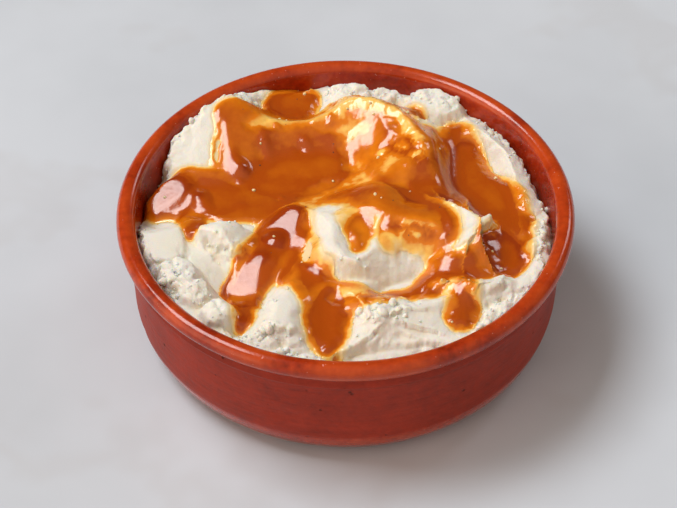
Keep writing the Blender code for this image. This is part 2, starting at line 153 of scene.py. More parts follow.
# Hollows: the same values, with the bottom for the top and the rise per mm for the fall.
HOLLOWS = {
    "swirl pool": ((-15, 19), (17, 10), 18, 40.0, (0.0, 0.04), 0.6, 0.52),
    "left pool": ((-45, 7), (13, 8), 4, 39.6, (0.04, 0.0), 0.4, 0.8),
    "left shore": ((-58, 9), (10, 10), 10, 37.4, (0.2, 0.16), 0.2, 1.0),
    "right pool": ((44.0, 8), (9, 26), 12, 39.8, (0, 0), 0.6, 1.2),
    # Lies deep so that the gravy over it takes its darkest brown: partly deep gravy, partly painted
    # shade.
    "shaded pool": ((46.5, -16), (8, 11), 20, 37.8, (0, 0), 0.8, 1.2),
    "valley below the swirl": ((26, 4), (6, 5), -15, 45.6, (0, 0), 0.5, 0.6),
    "back pool": ((-17, 53), (8.5, 7), 10, 40.4, (0, 0), 0.5, 0.9),
    "spooned band": ((-44, -23), (5.4, 11), 30, 38.6, (-0.20, 0.36), 0.2, 1.2),
    "left crevice": ((-56, -25.5), (6, 1.0), 25, 38.6, (0, 0), 0.3, 1.6),
    "front left crevice": ((-43, -39.5), (1.2, 7), 60, 38.8, (0, 0), 0.3, 1.6),
    "stream head": ((-19, -8), (8, 8), 0, 41.4, (0.2, 0.22), 0.2, 0.9),
    "stream bed": ((-24, -24), (6.5, 18), -30, 39.4, (0.10, 0.12), 0.2, 0.9),
    "tongue bed": ((-32, -42), (3.2, 9), -5, 38.6, (0, 0.05), 0.2, 1.0),
    "front stream bed": ((-5, -47), (5.0, 12), 0, 40.6, (0, 0.08), 0.2, 1.0),
    "dimple": ((4.0, -16), (3.0, 6.5), -6, 47.4, (0, 0.04), 0.5, 0.6),
    "second dimple": ((13, -17.5), (2.8, 4.0), 10, 48.2, (0, 0), 0.5, 0.6),
    "front spooned face": ((13, -59.5), (17, 2.6), 8, 38.6, (0, 0.3), 0.2, 1.2),
    # Lies deep so that the gravy over it takes its darkest brown: partly deep gravy, partly painted
    # shade.
    "channel bed": ((24, -31), (14, 4), 12, 39.8, (0, 0), 0.6, 0.8),
}

# Ridges and lumps that stand above the hollows beside them.
STANDING = ["curl", "spike", "rough lump", "rough lump end", "round front lump",
            "front right crumb", "right edge lump", "second edge lump"]

# Edges that hang over: centre (x, y), radius, height where the lean starts, and the shift (x, y)
# of a point 5 mm higher.
LEANS = {
    "curl": ((38, -13), 8, 44, (2.6, -0.3)),
    "lobe end": ((-9, -6), 8, 43, (-1.6, 0.2)),
    "lobe front": ((4, -24), 9, 44, (0, -1.0)),
    "front crumb": ((9, -46), 9, 43, (0, -2.0)),
    "bright lump": ((-38, -16), 6, 42.5, (-0.4, -1.6)),
    "pool lip": ((-4, 12), 8, 43.5, (-0.6, 1.2)),
    "right rim": ((54, 18), 10, 42, (1.2, 0.4)),
}

# Torn, crumbly patches as strokes of (x, y, half width).
CRUMBLY = {
    "rough lump": [(-55, -26, 3.5), (-50, -32, 5.0), (-44, -37, 3.5)],
    "round front lump": [(-40, -43, 1.0), (-38, -45, 1.2)],
    "front left edge": [(-37, -52, 2.5), (-28, -55, 3.2), (-18, -58, 3.0), (-9, -61, 2.5)],
    "front block": [(-26, -32, 1.2), (-24, -41, 2.0)],
    "bright lump": [(-44, -15, 1.0), (-38, -19, 1.5), (-31, -18, 1.5)],
    "left lump edge": [(-60, -23, 1.5), (-53, -26, 1.5), (-50, -20, 1.0)],
    "front crumb": [(1, -43, 2.5), (6, -45, 4.0), (13, -45, 4.5), (19, -41, 3)],
    "front right crumb": [(30, -34, 2.5), (38, -36, 3.5), (47, -33, 3)],
    "right front": [(36, -50, 3), (45, -45, 4), (53, -36, 2.5)],
    "right edge": [(60, -20, 2.0), (62, -8, 2.5), (64, 2, 1.0)],
    "front rim": [(-44, -50, 2), (-30, -58, 1.6), (-10, -62, 2), (10, -63, 2.2), (28, -58, 2.2)],
    "rough patch": [(17, -15, 2.2), (25, -16, 2.0)],
    "glossy knob": [(13, 25, 2.5), (18, 24, 3), (24, 16, 3)],
    "back lumps": [(-6, 58, 2.5), (2, 58, 3.5), (14, 57, 2.5), (24, 55, 3), (34, 50, 4)],
    "right rim": [(44, 44, 2.0), (53, 35, 1.5), (60, 22, 1.5), (63, 10, 1.5)],
    "left rim": [(-61, 15, 1.5), (-59, 25, 1.5), (-52, 38, 1.3), (-40, 49, 1.5), (-29, 51, 2)],
    "curl edge": [(41, -9, 1.3), (43, -14, 1.5), (46, -9, 2.0)],
    "channel edge": [(-3, -39.5, 1.0), (6, -40, 1.5), (18, -37.5, 1.5)],
}

# Where the gravy lies: strokes of (x, y, half width), and the bare patches cut out of them.
GRAVY_STROKES = {
    "back left slope": [(-36, 39, 7), (-34, 32, 7), (-33, 24, 7)],
    "mound foot": [(-41, 29, 2.2), (-40, 24, 3.5)],
    "back left brim": [(-37, 41, 5), (-30, 42, 5.5), (-22, 44, 5)],
    "back pool": [(-22, 46, 5), (-19, 53, 8), (-17, 57, 8)],
    "hump": [(-30, 34, 5), (-22, 36, 6)],
    "swirl pool": [(-26, 24, 10), (-14, 27, 12), (-4, 24, 12), (-4, 16, 9)],
    "swirl pool front": [(-30, 12, 12), (-18, 8, 12), (-8, 12, 8)],
    "left pool": [(-60, 9, 7), (-50, 11, 9.5), (-38, 9, 11), (-28, 8, 11)],
    "left tongue": [(-49, 4, 5), (-48.5, -4, 4), (-48, -8, 3)],
    "swirl crest": [(-26, 40, 3), (-18, 42, 4), (-8, 42, 6), (0, 43, 6), (10, 43, 6)],
    "back tongue": [(-4, 48, 3), (4, 48.5, 4), (14, 47, 5), (22, 45, 4.5)],
    "swirl right": [(12, 38, 7), (18, 32, 8), (22, 24, 8), (24, 14, 8), (26, 4, 8)],
    "swirl inside": [(8, 30, 7), (10, 20, 6), (14, 12, 6)],
    "lobe top": [(-3, 6, 6), (6, 3, 8), (16, -1, 9), (26, -6, 9), (34, -13, 7)],
    "lobe sheet": [(5, -6, 5), (12, -12, 7), (21, -13, 7), (30, -17, 5)],
    "lobe dimple": [(2, -10, 6), (4, -20, 3.8)],
    "second dimple": [(13, -14, 4), (13, -19.5, 3.0)],
    "right pool": [(36.5, 37, 6), (36.5, 28, 8.5), (38.5, 17, 9.5), (45, 5, 13), (48, -4, 11.5),
                   (46.5, -16, 11), (42, -22, 7)],
    "right pool left": [(28, 36, 3), (30, 26, 6), (31, 12, 7), (35, 2, 8)],
    "shaded channel": [(42, -22.5, 7.5), (33, -26.5, 7), (20, -31.5, 6), (12, -35, 4.5),
                       (0, -37, 4.5)],
    "channel shore": [(26, -33, 5), (25, -36, 3.5)],
    "diagonal stream": [(-19, -4, 8), (-21, -13, 8.5), (-27, -22, 7.5), (-31.5, -30, 6.5),
                        (-31, -38, 4.2), (-31, -46, 3.4)],
    "front stream": [(-15, -14, 5), (-13, -26, 8), (-8, -34, 8), (-6, -42, 7), (-6, -52, 6.5),
                     (-5, -57, 4.2)],
    "front shelf": [(-2, -38, 5), (5, -40.5, 3.5), (14, -39, 2.5)],
    "lobe end": [(-13, 0, 3), (-14, -12, 4)],
    "front right drip": [(36, -30, 4), (36, -37, 4), (35, -42, 5), (34, -47, 4.5)],
}
BARE_PATCHES = {
    "lobe end": [(-7, -5, 1.0), (-6, -10, 2.2), (-5, -15, 3.0), (-3, -22, 4.2)],
    "lobe rib": [(8.5, -19, 0.8), (8.5, -23, 1.6)],
    "lobe face": [(0, -28, 4), (8, -29.5, 4.2), (16, -27.5, 4), (22, -24.5, 2.4)],
    "curl edge": [(34, -3, 0.8), (37.5, -8.5, 1.5), (38.6, -13.5, 1.8), (37.4, -18, 1.5),
                  (34.5, -21, 0.8)],
    "spike": [(41.8, -9, 1.2), (45.4, -5.6, 1.3)],
}

# Where the gravy has run thin over a crest, as strokes of (x, y, half width).
THIN_STROKES = {
    "swirl crest": [(-31, 37, 1.0), (-24, 40.5, 2.5), (-15, 43, 2.5), (-6, 45, 3.5), (2, 44, 5),
                    (10, 43, 3)],
    "swirl brim": [(15, 39, 1.5), (20, 31, 1.5), (23, 25, 1.5)],
    "slab": [(5, 38, 4.5), (5, 30, 4.5), (4, 23, 3)],
    "knob": [(12, 16, 2), (15, 23, 4.0), (22, 19, 2.5)],
    "pool lip": [(10, 20, 1.5), (5, 14.5, 2.0), (-3, 13, 2), (-9, 9, 2.2), (-12, 4, 2.5)],
    "lobe end": [(-12, 0, 3), (-12, -8, 3), (-11, -16, 1)],
    "lobe crest": [(-2, -2, 3), (1, -9, 3), (8.5, -13, 2.5), (8.5, -18, 2)],
    "slab core": [(3, 45, 2), (4, 36, 4), (5, 26, 4)],
    "rough patch": [(17, -15.5, 2.0), (24, -16.5, 2.2)],
    "lobe front": [(8.5, -14, 1.0), (17, -20, 2), (26, -20, 2)],
    "curl": [(32, -3, 0.8), (36, -8, 1.2), (37, -14, 1.2), (36, -19, 1.0)],
    "channel lip": [(-2, -38, 2.0), (8, -38.5, 2.2), (17, -37, 2)],
    "drip head": [(36, -33, 3)],
}

# Sheets of gravy that slope to the front left and shine: a stroke, then the place (x, y, z) and
# the slope (x, y) of the sheet.
SHEETS = {
    "left shore": ([(-61, 8, 4), (-56, 12, 5.5)], (-57, 11, 40.0), (0.24, 0.22)),
    "left shore spot": ([(-47.5, 8, 1.5), (-46.5, 3, 2)], (-47, 6, 41.0), (0.22, 0.24)),
    "mound foot": ([(-42.5, 35, 0.5), (-41, 25, 2.5), (-35, 20, 1.5)], (-40, 25, 43.6),
                   (0.28, 0.28)),
    "stream top": ([(-17, -4, 4), (-20, -9, 6)], (-19, -8, 42.8), (0.22, 0.24)),
    "stream middle": ([(-23, -14, 2.5), (-26, -20, 2.5)], (-24.5, -17, 41.5), (0.24, 0.26)),
    "stream side": ([(-14, -14, 2.5), (-12, -20, 2)], (-13, -17, 42.0), (0.22, 0.24)),
    "stream foot": ([(-27, -21, 3.0), (-32, -30, 5)], (-30, -27, 39.8), (0.20, 0.22)),
}

# Low swells in the gravy: centre (x, y), half sizes, turn in degrees and height.
SWELLS = [((-26, 28), (3.0, 5), 0, 0.5), ((-24, 36), (4, 3), 20, 0.4), ((-14, 30), (4, 4), 0, 0.5),
          ((-5, 38), (2.5, 5), -40, 0.4), ((-20, 6), (3, 2.5), 0, 0.3),
          ((-33, 4), (2.5, 2), 0, 0.3),
          ((8, 4), (9, 4), -5, 0.4), ((-28, 17), (4, 2), 10, 0.2), ((29.5, 22), (4.5, 11), 10, 1.0),
          ((33, 5), (4.5, 9), 12, 1.2), ((35, -25), (7, 3), 25, 0.6)]

# Places where the gravy tilts towards the window: centre (x, y), half sizes, turn and tilt (x, y).
GLINTS = [((-27, 29), (1.8, 3.6), 0, (0.34, 0.36)), ((-24, 37.5), (2.2, 1.6), 0, (0.5, 0.45)),
          ((-14, 31), (2.2, 2.4), 20, (0.36, 0.4)), ((-6, 40), (1.4, 2.4), -35, (0.4, 0.5)),
          ((-47, 5), (2.0, 3.0), 0, (0.3, 0.3)), ((5, 24), (3.5, 4), 0, (0.2, 0.2)),
          ((-21, 7.5), (1.0, 1.0), 0, (0.5, 0.5)), ((-35, 15), (1.6, 1.0), 0, (0.4, 0.4))]

# The grid of the surfaces, in mm, and the rounds in which it is evened out.
ROWS = 303
SHEET_RADIUS = 65.95
LOOKUP_CELL = 0.5
LOOKUP_HALF = 68.0
EVENING_ROUNDS = 24

# The torn mash: grains as (size in mm, shift of the pattern, share of the height), how deep the
# creases between them go, how far their pattern is bent, and the most that an edge leans.
GRAINS = [(5.6, 1.4, 1.6), (2.7, 4.4, 0.36), (1.3, 9.2, 0.12)]
CREASE_DEPTH = 1.35
GRAIN_BEND = 1.2
LEAN_LIMIT = 1.6

# The gravy, in mm: the width over which its edge thickens, the coat that clings to the mash, what
# the coat loses where it ran thin, how far past its outline its skin goes, and the oval where its
# edge is crisp, as centre, half sizes and turn. Its colour is darkest at the darkest depth; that
# darkest brown is partly deep gravy and partly painted shade.
GRAVY_EDGE = 2.2
COAT_DEPTH = 0.40
COAT_LOSS = 0.31
OUTER_REACH = -0.8
DARKEST_DEPTH = 2.4
CRISP_EDGE = ((44, -15), (7, 11), 10)

# The camera, in metres.
CAMERA_TILT = radians(44.6)
CAMERA_DISTANCE = 0.580
CAMERA_TARGET = (-0.00226, -0.0207, 0.0434)
CAMERA_LENS = 100.0


# ---------------------------------------------------------------- settings


class DishSettings(bpy.types.PropertyGroup):
    """Sizes and colours of the terracotta dish."""

    glaze: FloatVectorProperty(
        name="Glaze", description="Colour of the glazed rim and inside", subtype="COLOR",
        default=(0.35, 0.024, 0.003), min=0, max=1)
    clay: FloatVectorProperty(
        name="Clay", description="Colour of the unglazed outside", subtype="COLOR",
        default=(0.29, 0.025, 0.008), min=0, max=1)
    steps: IntProperty(
        name="Steps", description="Steps round the dish", default=180, min=32, max=400)
    wobble: FloatProperty(
        name="Wobble", description="Unevenness left by the potter's hands", default=0.00012,
        min=0, unit="LENGTH", precision=5)


class MashSettings(bpy.types.PropertyGroup):
    """Colour and texture of the mashed potato."""

    colour: FloatVectorProperty(
        name="Potato", description="Colour of the mash", subtype="COLOR",
        default=(0.775, 0.78, 0.73), min=0, max=1)
    crumb: FloatProperty(
        name="Crumb", description="Height of the torn crumbs", default=0.0009, min=0,
        unit="LENGTH", precision=5)
    lumps: IntProperty(
        name="Torn Lumps", description="About how many small lumps lie on the torn edges",
        default=60, min=0, max=900)
    loose: IntProperty(
        name="Loose Crumbs", description="About how many loose crumbs lie on the torn edges",
        default=600, min=0, max=3000)


class GravySettings(bpy.types.PropertyGroup):
    """Depth and colours of the gravy."""

    deep: FloatVectorProperty(
        name="Deep", description="Colour where the gravy is deep", subtype="COLOR",
        default=(0.405, 0.068, 0.0015), min=0, max=1)
    golden: FloatVectorProperty(
        name="Golden", description="Colour of a film about half a millimetre deep",
        subtype="COLOR", default=(0.72, 0.205, 0.005), min=0, max=1)
    film: FloatProperty(
        name="Film", description="Depth of the film away from its edges", default=0.0008, min=0,
        unit="LENGTH", precision=5)
    bits: IntProperty(
        name="Bits", description="Number of small bits of potato that lie on the gravy",
        default=10, min=1, max=100)
    specks: IntProperty(
        name="Pepper", description="About how many flakes of pepper float in it", default=34,
        min=0, max=500)


class StageSettings(bpy.types.PropertyGroup):
    """The surface and the lights."""

    floor: FloatVectorProperty(
        name="Floor", description="Colour of the surface", subtype="COLOR",
        default=(0.515, 0.57, 0.64), min=0, max=1)
    key: FloatProperty(
        name="Key Light", description="Power of the large window light", default=120.0, min=0,
        unit="POWER")
    sky: FloatProperty(
        name="Sky", description="Strength of the light from all round", default=0.68, min=0)


# ---------------------------------------------------------------- shape of the helping, in mm


def smooth_max(a, b, blend):
    return 0.5 * (a + b + np.sqrt((a - b) ** 2 + blend ** 2))


def smooth_min(a, b, blend):
    return -smooth_max(-a, -b, blend)


def smooth_step(value, low, high):
    part = np.clip((value - low) / (high - low), 0, 1)
    return part * part * (3 - 2 * part)


def mound_share(x, y, centre, half, turn):
    """Distance from the centre of an oval, as a share of its half sizes."""
    along, across = x - centre[0], y - centre[1]
    return np.hypot((along * cos(radians(turn)) + across * sin(radians(turn))) / half[0],
                    (across * cos(radians(turn)) - along * sin(radians(turn))) / half[1])


def mound(x, y, centre, half, turn, top, slope, dome, fall):
    """Height of a rounded lump with a sloping top and flanks that fall away outside its outline."""
    along, across = x - centre[0], y - centre[1]
    out = mound_share(x, y, centre, half, turn)
    flank = fall * np.hypot(along, across) * (1 - 1 / np.maximum(out, 1))
    return top + slope[0] * along + slope[1] * across - dome * np.minimum(out, 1) ** 2 - flank


def along_line(x, y, start, end):
    """How far along a line from start to end each point lies, 0 to 1, and its offset from it."""
    run_x, run_y = end[0] - start[0], end[1] - start[1]
    along = ((x - start[0]) * run_x + (y - start[1]) * run_y) / (run_x ** 2 + run_y ** 2)
    along = np.clip(along, 0, 1)
    return along, x - start[0] - along * run_x, y - start[1] - along * run_y


def ridge(x, y, crest, left_fall, right_fall, roundness):
    """Height of a ridge that follows the crest points."""
    height = np.full(np.shape(x), -1000.0)
    for start, end in zip(crest, crest[1:]):
        along, away_x, away_y = along_line(x, y, start, end)
        away = np.sqrt(away_x ** 2 + away_y ** 2 + roundness ** 2) - roundness
        left = (end[0] - start[0]) * away_y - (end[1] - start[1]) * away_x > 0
        fall = np.where(left, left_fall, right_fall)
        height = np.maximum(height, start[2] + along * (end[2] - start[2]) - fall * away)
    return height


def reach_of(x, y, strokes):
    """Distance inside the edge of a family of strokes, negative outside them."""
    reach = np.full(np.shape(x), -1000.0)
    for points in strokes.values():
        for start, end in zip(points, points[1:]):
            along, away_x, away_y = along_line(x, y, start, end)
            width = start[2] + along * (end[2] - start[2])
            reach = smooth_max(reach, width - np.hypot(away_x, away_y), 1.0)
    return reach


def wall_side(x, y):
    """Radius out to which the mash keeps its height before it drops to the wall."""
    angle = np.degrees(np.arctan2(y, x))
    radius = np.full(np.shape(x), INNER_TOP_RADIUS + 1.0)
    for at, spread, width in GAPS:
        turn = (angle - at + 180) % 360 - 180
        radius = radius - (width + 1.0) * np.exp(-(turn / spread) ** 2)
    return radius


def mash_height(x, y):
    """Height of the top of the mash, in mm, before its crumbs."""
    height = BODY_HEIGHT + BODY_SLOPE_Y * y
    for values in RIDGES.values():
        height = smooth_max(height, ridge(x, y, *values), BLEND)
    for values in LUMPS.values():
        height = smooth_max(height, mound(x, y, *values), BLEND)
    for centre, half, turn, bottom, slope, dome, rise in HOLLOWS.values():
        bowl = mound(x, y, centre, half, turn, -bottom, (-slope[0], -slope[1]), -dome, rise)
        height = smooth_min(height, -bowl, BLEND)
    for name in STANDING:
        top = ridge(x, y, *RIDGES[name]) if name in RIDGES else mound(x, y, *LUMPS[name])
        height = smooth_max(height, top, BLEND)
    radius = np.hypot(x, y)
    height = smooth_min(height, ROLL_HEIGHT + ROLL_SLOPE * (ROLL_RADIUS - radius), BLEND)
    past_edge = np.clip(radius - wall_side(x, y), 0, WALL_GAP_DEPTH / WALL_FALL)
    return height - WALL_FALL * past_edge


def gravy_reach(x, y):
    return smooth_min(reach_of(x, y, GRAVY_STROKES), -reach_of(x, y, BARE_PATCHES), 0.8)


def soft_noise(points, size, shift, octaves=3):
    """Smooth noise of about -1 to 1 at points in mm, with features of the size given."""
    offset = Vector((shift, 1.7 * shift, 0.3 * shift))
    return np.array([noise.fractal(Vector(p) / size + offset, 1.0, 2.1, octaves)
                     for p in points.tolist()])


def grains(points, size, shift):
    """Rounded crumbs of the size given, 0 in the creases between them and 1 at their tops."""
    offset = Vector((shift, 0.6 * shift, 1.3 * shift))
    nearest = np.array([noise.voronoi(Vector(p) / size + offset)[0][:2] for p in points.tolist()])
    inward = np.clip((nearest[:, 1] - nearest[:, 0]) / 0.7, 0, 1)
    return 1 - (1 - inward) ** 1.5


class Lookup:
    """Heights on an even square grid, blurred by a spread in mm and read back at any point."""

    def __init__(self, heights):
        self.heights = heights

    @staticmethod
    def places():
        count = round(2 * LOOKUP_HALF / LOOKUP_CELL) + 1
        steps = np.linspace(-LOOKUP_HALF, LOOKUP_HALF, count)
        return np.meshgrid(steps, steps)

    def blurred(self, spread):
        reach = int(np.ceil(2.5 * spread / LOOKUP_CELL))
        taps = np.exp(-0.5 * (np.arange(-reach, reach + 1) * LOOKUP_CELL / spread) ** 2)
        taps /= taps.sum()
        heights = self.heights
        for _ in range(2):
            padded = np.pad(heights, ((reach, reach), (0, 0)), mode="edge")
            rows = len(heights)
            heights = sum(tap * padded[i:i + rows] for i, tap in enumerate(taps)).T
        return Lookup(heights)

    def at(self, x, y):
        last = len(self.heights) - 1.001
        column = np.clip((x + LOOKUP_HALF) / LOOKUP_CELL, 0, last)
        row = np.clip((y + LOOKUP_HALF) / LOOKUP_CELL, 0, last)
        i, j = row.astype(int), column.astype(int)
        down, right = row - i, column - j
        near = self.heights[i, j] * (1 - right) + self.heights[i, j + 1] * right
        far = self.heights[i + 1, j] * (1 - right) + self.heights[i + 1, j + 1] * right
        return near * (1 - down) + far * down


def disc_grid():
    """A square grid bent to a disc, so that its edge is the round edge of the helping."""
    steps = np.linspace(-1, 1, ROWS)
    u, v = np.meshgrid(steps, steps)
    return (SHEET_RADIUS * u * np.sqrt(1 - v * v / 2), SHEET_RADIUS * v * np.sqrt(1 - u * u / 2))


def even_out(x, y, heights, rounds):
    """Draws grid points into the steep places, so that the faces there aren't stretched."""
    for _ in range(rounds):
        z = heights.at(x, y)
        inner = (slice(1, -1), slice(1, -1))
        total = np.zeros((ROWS - 2, ROWS - 2))
        sum_x, sum_y = total.copy(), total.copy()
        for rows, columns in (((0, -2), (1, -1)), ((2, None), (1, -1)),
                              ((1, -1), (0, -2)), ((1, -1), (2, None))):
            side = (slice(*rows), slice(*columns))
            length = np.sqrt((x[side] - x[inner]) ** 2 + (y[side] - y[inner]) ** 2
                             + (z[side] - z[inner]) ** 2)
            total += length
            sum_x += length * x[side]
            sum_y += length * y[side]
        x[inner] = 0.5 * (x[inner] + sum_x / total)
        y[inner] = 0.5 * (y[inner] + sum_y / total)
    return x, y


def grid_normals(points):
    """Unit normals of a grid of points, rows by columns by 3."""
    normals = np.cross(np.gradient(points, axis=1), np.gradient(points, axis=0))
    return normals / np.linalg.norm(normals, axis=2, keepdims=True)


@lru_cache(maxsize=1)
def smooth_mash():
    """The mash without its crumbs, to be read back blurred."""
    return Lookup(mash_height(*Lookup.places()))


def drift(x, y, slow_shift, quick_shift):
    """A smooth wandering of a millimetre or so, which makes outlines uneven."""
    flat = np.stack([x.ravel(), y.ravel(), np.zeros(x.size)], axis=1)
    slow = soft_noise(flat, 6.0, slow_shift)
    return (0.9 * slow + 0.45 * soft_noise(flat, 2.0, quick_shift)).reshape(x.shape)


def torn_share(x, y, z, drift_x, drift_y):
    """How torn and crumbly the mash is at each place: patches, crests and the edge at the wall."""
    torn = smooth_step(reach_of(x + drift_x, y + drift_y, CRUMBLY), -1.5, 1.5)
    crest = z - smooth_mash().blurred(2.0).at(x, y)
    torn = np.maximum(torn, 0.3 * smooth_step(crest, 0.3, 0.9))
    rim = smooth_step(np.hypot(x, y) - wall_side(x, y), -1.4, 0.0)
    return np.maximum(torn, 0.8 * rim)


def lean_over(points):
    """Leans the edges that hang over, more so the higher they are."""
    x, y, z = (points[..., axis].copy() for axis in range(3))
    for centre, radius, base, shift in LEANS.values():
        near = np.exp(-((x - centre[0]) ** 2 + (y - centre[1]) ** 2) / radius ** 2)
        lift = np.clip((z - base) / 5, 0, LEAN_LIMIT) * near
        points[..., 0] += lift * shift[0]
        points[..., 1] += lift * shift[1]


@lru_cache(maxsize=1)
def mash_surface():
    """The top of the mash on a grid: its points, how torn it is, and the drift of its outlines."""
    x, y = even_out(*disc_grid(), smooth_mash(), EVENING_ROUNDS)
    drift_x, drift_y = drift(x, y, 3.1, 8.3), drift(x, y, 5.7, 1.9)
    z = mash_height(x + 0.8 * drift_x, y + 0.8 * drift_y)
    torn = torn_share(x, y, z, drift_x, drift_y)
    points = np.stack([x, y, z], axis=2)
    lean_over(points)

    normals = grid_normals(points)
    cloud = points.reshape(-1, 3)
    lumpy = soft_noise(cloud, 7.0, 2.2).reshape(x.shape)
    fine = soft_noise(cloud, 1.6, 7.7).reshape(x.shape)
    bent = cloud + GRAIN_BEND * np.stack([drift_x.ravel(), drift_y.ravel(), lumpy.ravel()], axis=1)
    relief = sum(share * grains(bent, size, shift).reshape(x.shape)
                 for size, shift, share in GRAINS)
    crumb = bpy.context.scene.potato_mash.crumb / MM
    raised = torn * crumb * (relief - CREASE_DEPTH)
    raised += (0.12 + 0.30 * torn) * lumpy + 0.12 * (0.15 + torn) * fine
    return points + normals * raised[..., None], torn, drift_x, drift_y


def still_level(x, y, reach, film, taper, thin, inside):
    """Height of the gravy where it lies in hollows, with its swells and tilted places."""
    depth = film * taper + np.minimum(reach, 0) * 0.9
    for centre, half, turn, height in SWELLS:
        depth += height * np.exp(-mound_share(x, y, centre, half, turn) ** 2) * inside
    level = smooth_mash().blurred(2.4).at(x, y) + depth
    filled = smooth_mash().blurred(5.0).at(x, y) - 0.2 - 1.8 * (1 - smooth_step(reach, 0.0, 5.0))
    level = smooth_max(level, filled - 3 * thin, 1.2)
    for centre, half, turn, tilt in GLINTS:
        near = np.exp(-mound_share(x, y, centre, half, turn) ** 2) * inside
        level += near * (tilt[0] * (x - centre[0]) + tilt[1] * (y - centre[1]))
    return level


@lru_cache(maxsize=1)
def gravy_surface():
    """The top of the gravy over each point of the mash, and its reach inside its outline."""
    points, _, drift_x, drift_y = mash_surface()
    x, y, mash = points[..., 0], points[..., 1], points[..., 2]
    reach = gravy_reach(x + 0.55 * drift_x, y + 0.55 * drift_y)
    crisp = np.exp(-mound_share(x, y, *CRISP_EDGE) ** 2)
    soft = smooth_step(x, -15, -7) * (1 - crisp)
    inside = np.clip(reach / (GRAVY_EDGE * (1 + soft - 0.5 * crisp)), 0, 1)
    thin = smooth_step(reach_of(x + drift_x, y + drift_y, THIN_STROKES), -3.0, 1.5)
    film = bpy.context.scene.potato_gravy.film / MM * (1 - 0.85 * thin)
    taper = 1 - (1 - inside) ** 2
    level = still_level(x, y, reach, film, taper, thin, inside)
    level = np.where(level > mash, mash + (level - mash) * (0.08 + 0.92 * taper), level)
    coat = mash + (COAT_DEPTH - COAT_LOSS * thin) * taper + 0.13 * np.minimum(reach, 0)
    coat += 1.2 * crisp * inside
    for stroke, (sheet_x, sheet_y, sheet_z), slope in SHEETS.values():
        share = smooth_step(reach_of(x, y, {"sheet": stroke}), -4.0, 2.0) * inside
        sheet = sheet_z + slope[0] * (x - sheet_x) + slope[1] * (y - sheet_y)
        level = level + share * (sheet - level)
        coat -= 1.0 * smooth_step(share, 0.4, 0.9) * smooth_step(mash - sheet, 0.0, 0.4)
    gravy = smooth_max(level, coat, 0.2)
    return np.where(reach > OUTER_REACH, gravy, mash - 1.2), reach


# ---------------------------------------------------------------- meshes


def new_object(name, mesh):
    obj = bpy.data.objects.new(name, mesh)
    bpy.context.scene.collection.objects.link(obj)
    return obj


def set_attribute(mesh, name, values):
    layer = mesh.attributes.new(name, "FLOAT", "POINT")
    layer.data.foreach_set("value", np.ascontiguousarray(values, dtype=np.float32))


def grid_faces(index):
    """Quads between the used cells of a grid of point numbers, -1 where there is no point."""
    a, b, c, d = index[:-1, :-1], index[:-1, 1:], index[1:, 1:], index[1:, :-1]
    used = (a >= 0) & (b >= 0) & (c >= 0) & (d >= 0)
    return np.stack([a[used], b[used], c[used], d[used]], axis=1)


def edge_loop_faces(faces, offset):
    """Quads that join each open edge of the faces to its copy, offset point numbers later."""
    starts = faces.ravel()
    ends = np.roll(faces, -1, axis=1).ravel()
    size = faces.max() + 1
    forward = starts * size + ends
    back = ends * size + starts
    open_edges = ~np.isin(forward, back)
    a, b = starts[open_edges], ends[open_edges]
    return np.stack([b, a, a + offset, b + offset], axis=1)


def plain_mesh(obj):
    """Turns an object with modifiers into one with a plain mesh."""
    graph = bpy.context.evaluated_depsgraph_get()
    mesh = bpy.data.meshes.new_from_object(obj.evaluated_get(graph))
    obj.modifiers.clear()
    obj.data = mesh
    return obj


# ---------------------------------------------------------------- node trees


class Wire:
    """An output socket of a node tree; Python's operators on it add Math nodes."""

    def __init__(self, board, socket):
        self.board = board
        self.socket = socket

    def math(self, operation, *inputs):
        return self.board.add("ShaderNodeMath", {"operation": operation},
                              dict(enumerate(inputs)))

    def __add__(self, other):
        return self.math("ADD", self, other)

    __radd__ = __add__

    def __sub__(self, other):
        return self.math("SUBTRACT", self, other)

    def __rsub__(self, other):
        return self.math("SUBTRACT", other, self)

    def __mul__(self, other):
        return self.math("MULTIPLY", self, other)

    __rmul__ = __mul__

    def __truediv__(self, other):
        return self.math("DIVIDE", self, other)

    def whole_part(self):
        return self.math("FLOOR", self)

    def without_sign(self):
        return self.math("ABSOLUTE", self)

    def between(self, low, high):
        """0 up to low, 1 from high, with a smooth rise."""
        return self.board.add("ShaderNodeMapRange", {"interpolation_type": "SMOOTHSTEP"},
                              {"Value": self, "From Min": low, "From Max": high})


